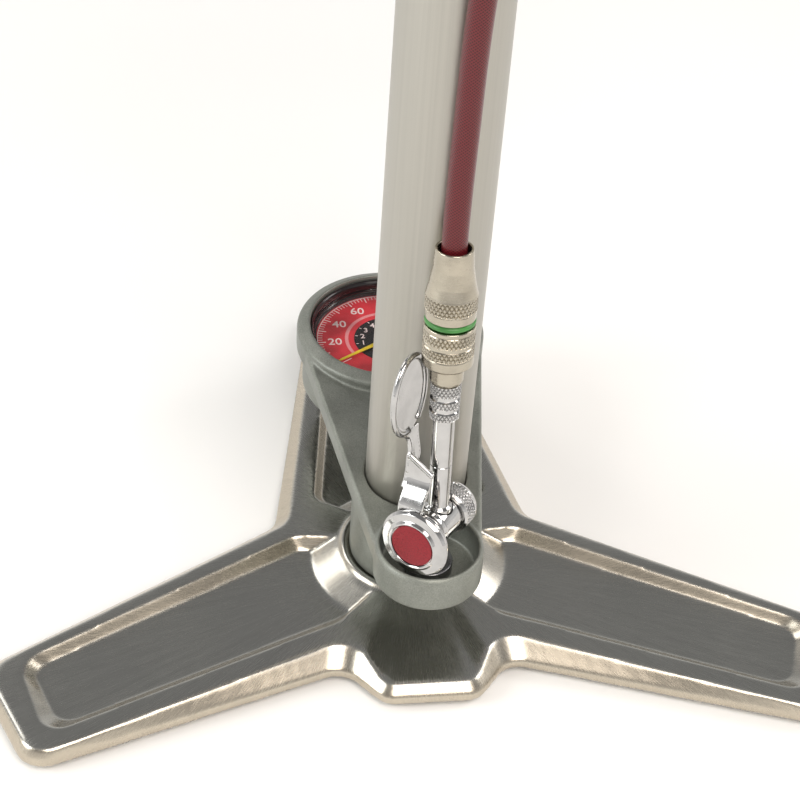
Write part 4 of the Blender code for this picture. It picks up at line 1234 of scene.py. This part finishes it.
def make_port():
    """Elbow fitting on the back of the gauge cup and the crimped ferrule under the hose."""
    base_y = PORT_Y - 8.4
    along_y = place_at((PORT_X, 0, PORT_Z), (1, 0, 0), (0, 1, 0))
    elbow = loose("port_elbow", hexagon(13.0, base_y, base_y + 4.5), along_y)
    combine(elbow, rod(5.6, base_y + 2, PORT_Y), "UNION", along_y)
    combine(elbow, ball(6.2), "UNION", place_at((PORT_X, PORT_Y, PORT_Z)))
    link = place_at((PORT_X, PORT_Y, 0))
    combine(elbow, rod(4.8, PORT_Z, 50.0, 0.3), "UNION", link)
    finished(elbow, "warm_nickel", "hose_port_elbow")
    high = top("hose_ferrule")
    collar = [(0, 50.3), (5.8, 50.3, 0.3), (6.4, 51.0, 0.3), (6.4, 52.4, 0.3), (5.9, 52.9, 0.3),
              (5.9, 53.5, 0.3), (6.4, 54.0, 0.3), (6.4, 55.4, 0.3), (5.9, 55.9, 0.3),
              (5.9, 56.5, 0.3), (6.3, 57.0, 0.3), (6.2, 58.2, 0.3), (5.2, high, 0.4), (0, high)]
    turned_piece("hose_collar", lathe(filleted(collar, 3), 72), link, "warm_nickel",
                 "hose_ferrule")


def make_coupler():
    """Quick coupler: core, knurled sliding collar, green ring and knurled cone."""
    low, high = 89.5, 94.9
    shell = [(3.0, 97.5), (3.0, 86.1), (8.7, 86.1, 0.3), (8.7, 89.0, 0.2), (8.95, low, 0.1),
             (8.95, high, 0.1), (8.7, 95.6, 0.3), (7.9, 99.0, 9.0), (6.9, 105.0, 9.0),
             (6.5, 111.9, 0.4), (5.6, 111.9, 0.3), (HOSE_R + GAP + 0.1, 97.5)]
    shell = knurled(shell, [(low, high)], teeth=36, depth=0.5, pitch=2.6, steps=360)
    ring = [(3.0, 83.6), (8.0, 83.6, 0.3), (8.8, 84.2, 0.7), (8.8, 85.2, 0.7), (8.0, 85.8, 0.3),
            (3.0, 85.8)]
    bands = [(72.0, 75.6), (77.4, 81.2)]
    collar = [(6.2, 67.0), (7.7, 67.0, 0.3), (8.9, 68.3, 0.5), (8.9, 71.4, 0.2), (8.7, 71.8),
              (8.9, bands[0][0]), (8.9, bands[0][1]), (8.5, 75.9, 0.1), (8.5, 77.1, 0.1),
              (8.9, bands[1][0]), (8.9, bands[1][1]), (8.7, 81.5), (8.9, 81.9, 0.1),
              (8.9, 83.3, 0.4), (6.2, 83.3)]
    collar = knurled(collar, bands, teeth=36, depth=0.5, pitch=2.6, steps=360)
    core = [(3.0, 60.3), (5.5, 60.3, 0.3), (5.85, 61.2, 0.3), (5.85, 83.3), (3.0, 83.3)]
    pieces = [
        ("coupler_cone", shell, "warm_nickel", "coupler_shell", 50.0),
        ("coupler_seal_ring", lathe(filleted(ring), 96), "green_rubber", "coupler_ring"),
        ("coupler_sleeve", collar, "warm_nickel", "coupler_collar", 50.0),
        ("coupler_neck", lathe(filleted(core), 96), "warm_nickel", "coupler_core"),
    ]
    return [turned_piece(name, mesh, CHUCK, *looks) for name, mesh, *looks in pieces]


# ---------------------------------------------------------------- chuck

def make_stem():
    """Chromed stem with three knurled rings below the coupler."""
    bands = [(45.7, 48.5), (50.7, 53.4), (55.6, 59.8)]
    stem = [(0, 3.2), (3.0, 3.2, 0.6), (4.0, 4.6), (5.0, 5.2, 0.3), (5.0, 7.2, 0.5),
            (3.95, 8.0, 0.3), (3.95, 25.2, 0.1), (3.8, 25.4), (3.95, 25.6, 0.1),
            (3.95, 45.1, 0.2), (5.3, bands[0][0]), (5.3, bands[0][1]), (4.7, 48.9, 0.1),
            (4.7, 50.3, 0.1), (5.3, bands[1][0]), (5.3, bands[1][1]), (4.7, 53.8, 0.1),
            (4.7, 55.2, 0.1), (5.4, bands[2][0]), (5.4, bands[2][1]), (5.1, 60.0),
            (2.7, 60.0), (2.7, 92.0), (0, 92.0)]
    stem = knurled(stem, bands, teeth=24, depth=0.6, pitch=2.2, steps=288)
    return turned_piece("stem_skin", stem, CHUCK, "chrome", "chuck_stem", 50.0)


def make_head():
    """Cross head with its clamp disc, coloured insert, valve knob and seal."""
    body = [(0, -12.7), (7.4, -12.7, 0.3), (7.4, -9.6, 0.2), (6.6, -9.2, 0.2), (6.6, -7.8, 0.2),
            (7.4, -7.4, 0.2), (7.4, -5.6, 0.2), (7.1, -5.3), (7.4, -5.0, 0.2), (7.4, 4.6, 0.3),
            (6.8, 5.2, 0.2), (0, 5.2)]
    head = loose("head_shell", lathe(filleted(body, 3), 128), ACROSS)
    combine(head, rod(5.4, 2.9, 20.0), "DIFFERENCE", CHUCK)
    combine(head, rod(3.2, -20.0, 20.0), "DIFFERENCE", ACROSS)
    combine(head, rod(4.9, 4.1, 20.0), "DIFFERENCE", ACROSS)
    head = finished(head, "chrome", "chuck_head")
    disc = [(0, -17.4), (8.4, -17.4), (8.4, -18.3, 0.1), (8.8, -18.7, 0.2), (9.2, -18.6, 0.3),
            (10.0, -17.7, 0.8), (12.4, -17.3, 0.5), (13.3, -16.2, 0.5), (13.1, -15.2, 0.2),
            (7.0, -15.2), (7.0, -13.0), (2.8, -13.0), (2.8, 4.1), (0, 4.1)]
    insert = [(0, -17.7), (8.1, -17.7), (8.1, -18.2, 0.15), (0, -18.26)]
    low, high = 6.6, 12.4
    knob = [(3.6, 5.5), (8.3, 5.5, 0.3), (9.0, low - 0.3, 0.2), (9.0, low), (9.0, high),
            (9.0, high + 0.4, 0.3), (8.2, 14.4, 0.5), (6.6, 14.4, 0.3), (5.6, 13.2, 0.4),
            (5.4, 12.4), (4.2, 12.4, 0.2), (3.6, 12.9)]
    knob = knurled(knob, [(low, high)], teeth=40, depth=0.5, pitch=2.4, steps=400, spacing=0.13)
    seal = [(2.6, 4.4), (4.6, 4.4), (4.6, 5.3), (3.3, 5.3), (3.3, 12.2, 0.2), (2.6, 12.2)]
    pieces = [
        ("clamp_face", lathe(filleted(disc), 144), "chrome", "chuck_disc"),
        ("clamp_insert", lathe(filleted(insert), 96), "red_anodised", "chuck_insert"),
        ("valve_knob", knob, "chrome", "chuck_knob", 50.0),
        ("valve_seal", lathe(filleted(seal), 64), "rubber", "chuck_seal"),
    ]
    return [head] + [turned_piece(name, mesh, ACROSS, *looks) for name, mesh, *looks in pieces]


STRAP_RIGHT, STRAP_LEFT = -1.0, 8.6
# Up the strap: height at its left edge, height at its right edge, and place along the head.
STRAP_STATIONS = [
    (9.0, 9.0, -13.9), (12.5, 12.5, -13.6), (15.0, 15.0, -12.4), (17.5, 17.5, -10.6),
    (20.0, 19.6, -8.9), (23.0, 21.4, -8.0), (30.0, 24.3, -7.3),
]
PADDLE_CENTRE, PADDLE_HALF, PADDLE_SIDE = (-6.9, 53.8), (11.5, 16.5), 10.6
# Up the neck: height, rear edge, front edge, and how far to the side it stands.
NECK_STATIONS = [
    (20.0, -8.6, -6.6, 8.6), (23.0, -8.6, -4.0, 8.6), (26.0, -8.0, -0.9, 8.6),
    (29.5, -6.6, -0.5, 9.0), (33.0, -6.2, -0.5, 9.6), (36.0, -7.0, -0.2, 10.2),
    (38.5, -9.8, 0.4, 10.5),
]


def sampled(stations, count=8):
    return splined([np.array(station, float) for station in stations], count)


def paddle_point(turn, share, side):
    return (PADDLE_CENTRE[0] + share * PADDLE_HALF[0] * cos(turn), side,
            PADDLE_CENTRE[1] + share * PADDLE_HALF[1] * sin(turn))


def paddle_dish():
    """Oval sheet, dished away from the stem."""
    rings = []
    shares = [0.02, 0.15, 0.3, 0.45, 0.6, 0.75, 0.9, 0.98]
    for side in (-0.55, 0.55):
        part = []
        for share in shares:
            depth = PADDLE_SIDE + side + 0.9 * (1 - share * share)
            part.append([paddle_point(tau * k / 96, share, depth) for k in range(96)])
        rings += part if side < 0 else part[::-1]
    return grid_mesh(rings)


def make_lever():
    """Bent sheet lever: ring round the head, strap past the stem, rolled rims and paddle."""
    half = 0.65
    strap = grid_mesh([[(x - half, STRAP_RIGHT, right), (x + half, STRAP_RIGHT, right),
                        (x + half, STRAP_LEFT, left), (x - half, STRAP_LEFT, left)]
                       for left, right, x in sampled(STRAP_STATIONS)])
    neck = grid_mesh([[(rear, side - half, height), (front, side - half, height),
                       (front, side + half, height), (rear, side + half, height)]
                      for height, rear, front, side in sampled(NECK_STATIONS)])
    rim = tube_mesh([paddle_point(radians(-82) - tau * k / 96, 0.93, PADDLE_SIDE - 0.35)
                     for k in range(90)], 1.15, 20)
    end_left, end_right, end_x = STRAP_STATIONS[-1]
    lip = tube_mesh([(end_x, STRAP_RIGHT + (STRAP_LEFT - STRAP_RIGHT) * k / 12,
                      end_right + (end_left - end_right) * k / 12 - 0.4) for k in range(13)],
                    1.05, 16)
    curl = tube_mesh([(x + 0.4, STRAP_LEFT + 0.5, left - 0.4)
                      for left, _, x in sampled(STRAP_STATIONS[3:])], 0.95, 16)
    edges = []
    for column, inset in ((1, 0.35), (2, -0.35)):
        edges.append(tube_mesh([(row[column] + inset, row[3] + 0.1, row[0])
                                for row in sampled(NECK_STATIONS[1:], 6)], 0.9, 16))
    ring = lathe(filleted([(7.9, -14.9), (12.0, -14.9, 0.3), (12.0, -13.0, 0.3), (7.9, -13.0)]),
                 128)
    ring.transform(Matrix.Rotation(pi / 2, 4, "Y"))
    sheet = [strap, neck, paddle_dish(), rim, lip, curl, *edges, ring]
    lever = loose("lever_blade", joined(sheet), CHUCK)
    melted(lever, voxel=0.26, smoothing=8)
    return finished(lever, "chrome", "chuck_lever", 70.0)


# ---------------------------------------------------------------- inner nodes

CARRIED = {
    "steel": ["base_washer", "valve_ball", "valve_spring", "piston_nut", "piston_washer",
              "gauge_can", "gauge_sector_pin"],
    "brass": ["valve_seat", "rod_bush", "piston_head", "gauge_frame", "gauge_sector",
              "gauge_stem", "bourdon_tube"],
    "leather": ["piston_cup"],
}


def dress_carried():
    """Gives the frame's own inner pieces, which no piece replaces, a full material."""
    for material, nodes in CARRIED.items():
        for node in nodes:
            mesh = frame["nodes"][node].data
            mesh.materials.clear()
            mesh.materials.append(MATERIALS[material])


make_camera()
make_world()
make_lights()
make_floor(pale_floor())
bpy.context.scene.view_settings.view_transform = "Standard"
make_base()
make_feet()
make_base_screw()
make_body()
make_magnet()
make_barrel()
make_cap()
make_saddle()
make_rod()
make_hub()
make_grip("left", handle_side(-1))
make_grip("right", handle_side(1))
make_gauge()
make_port()
fittings = make_coupler() + [make_stem()] + make_head() + [make_lever()]
make_hose()
dress_carried()
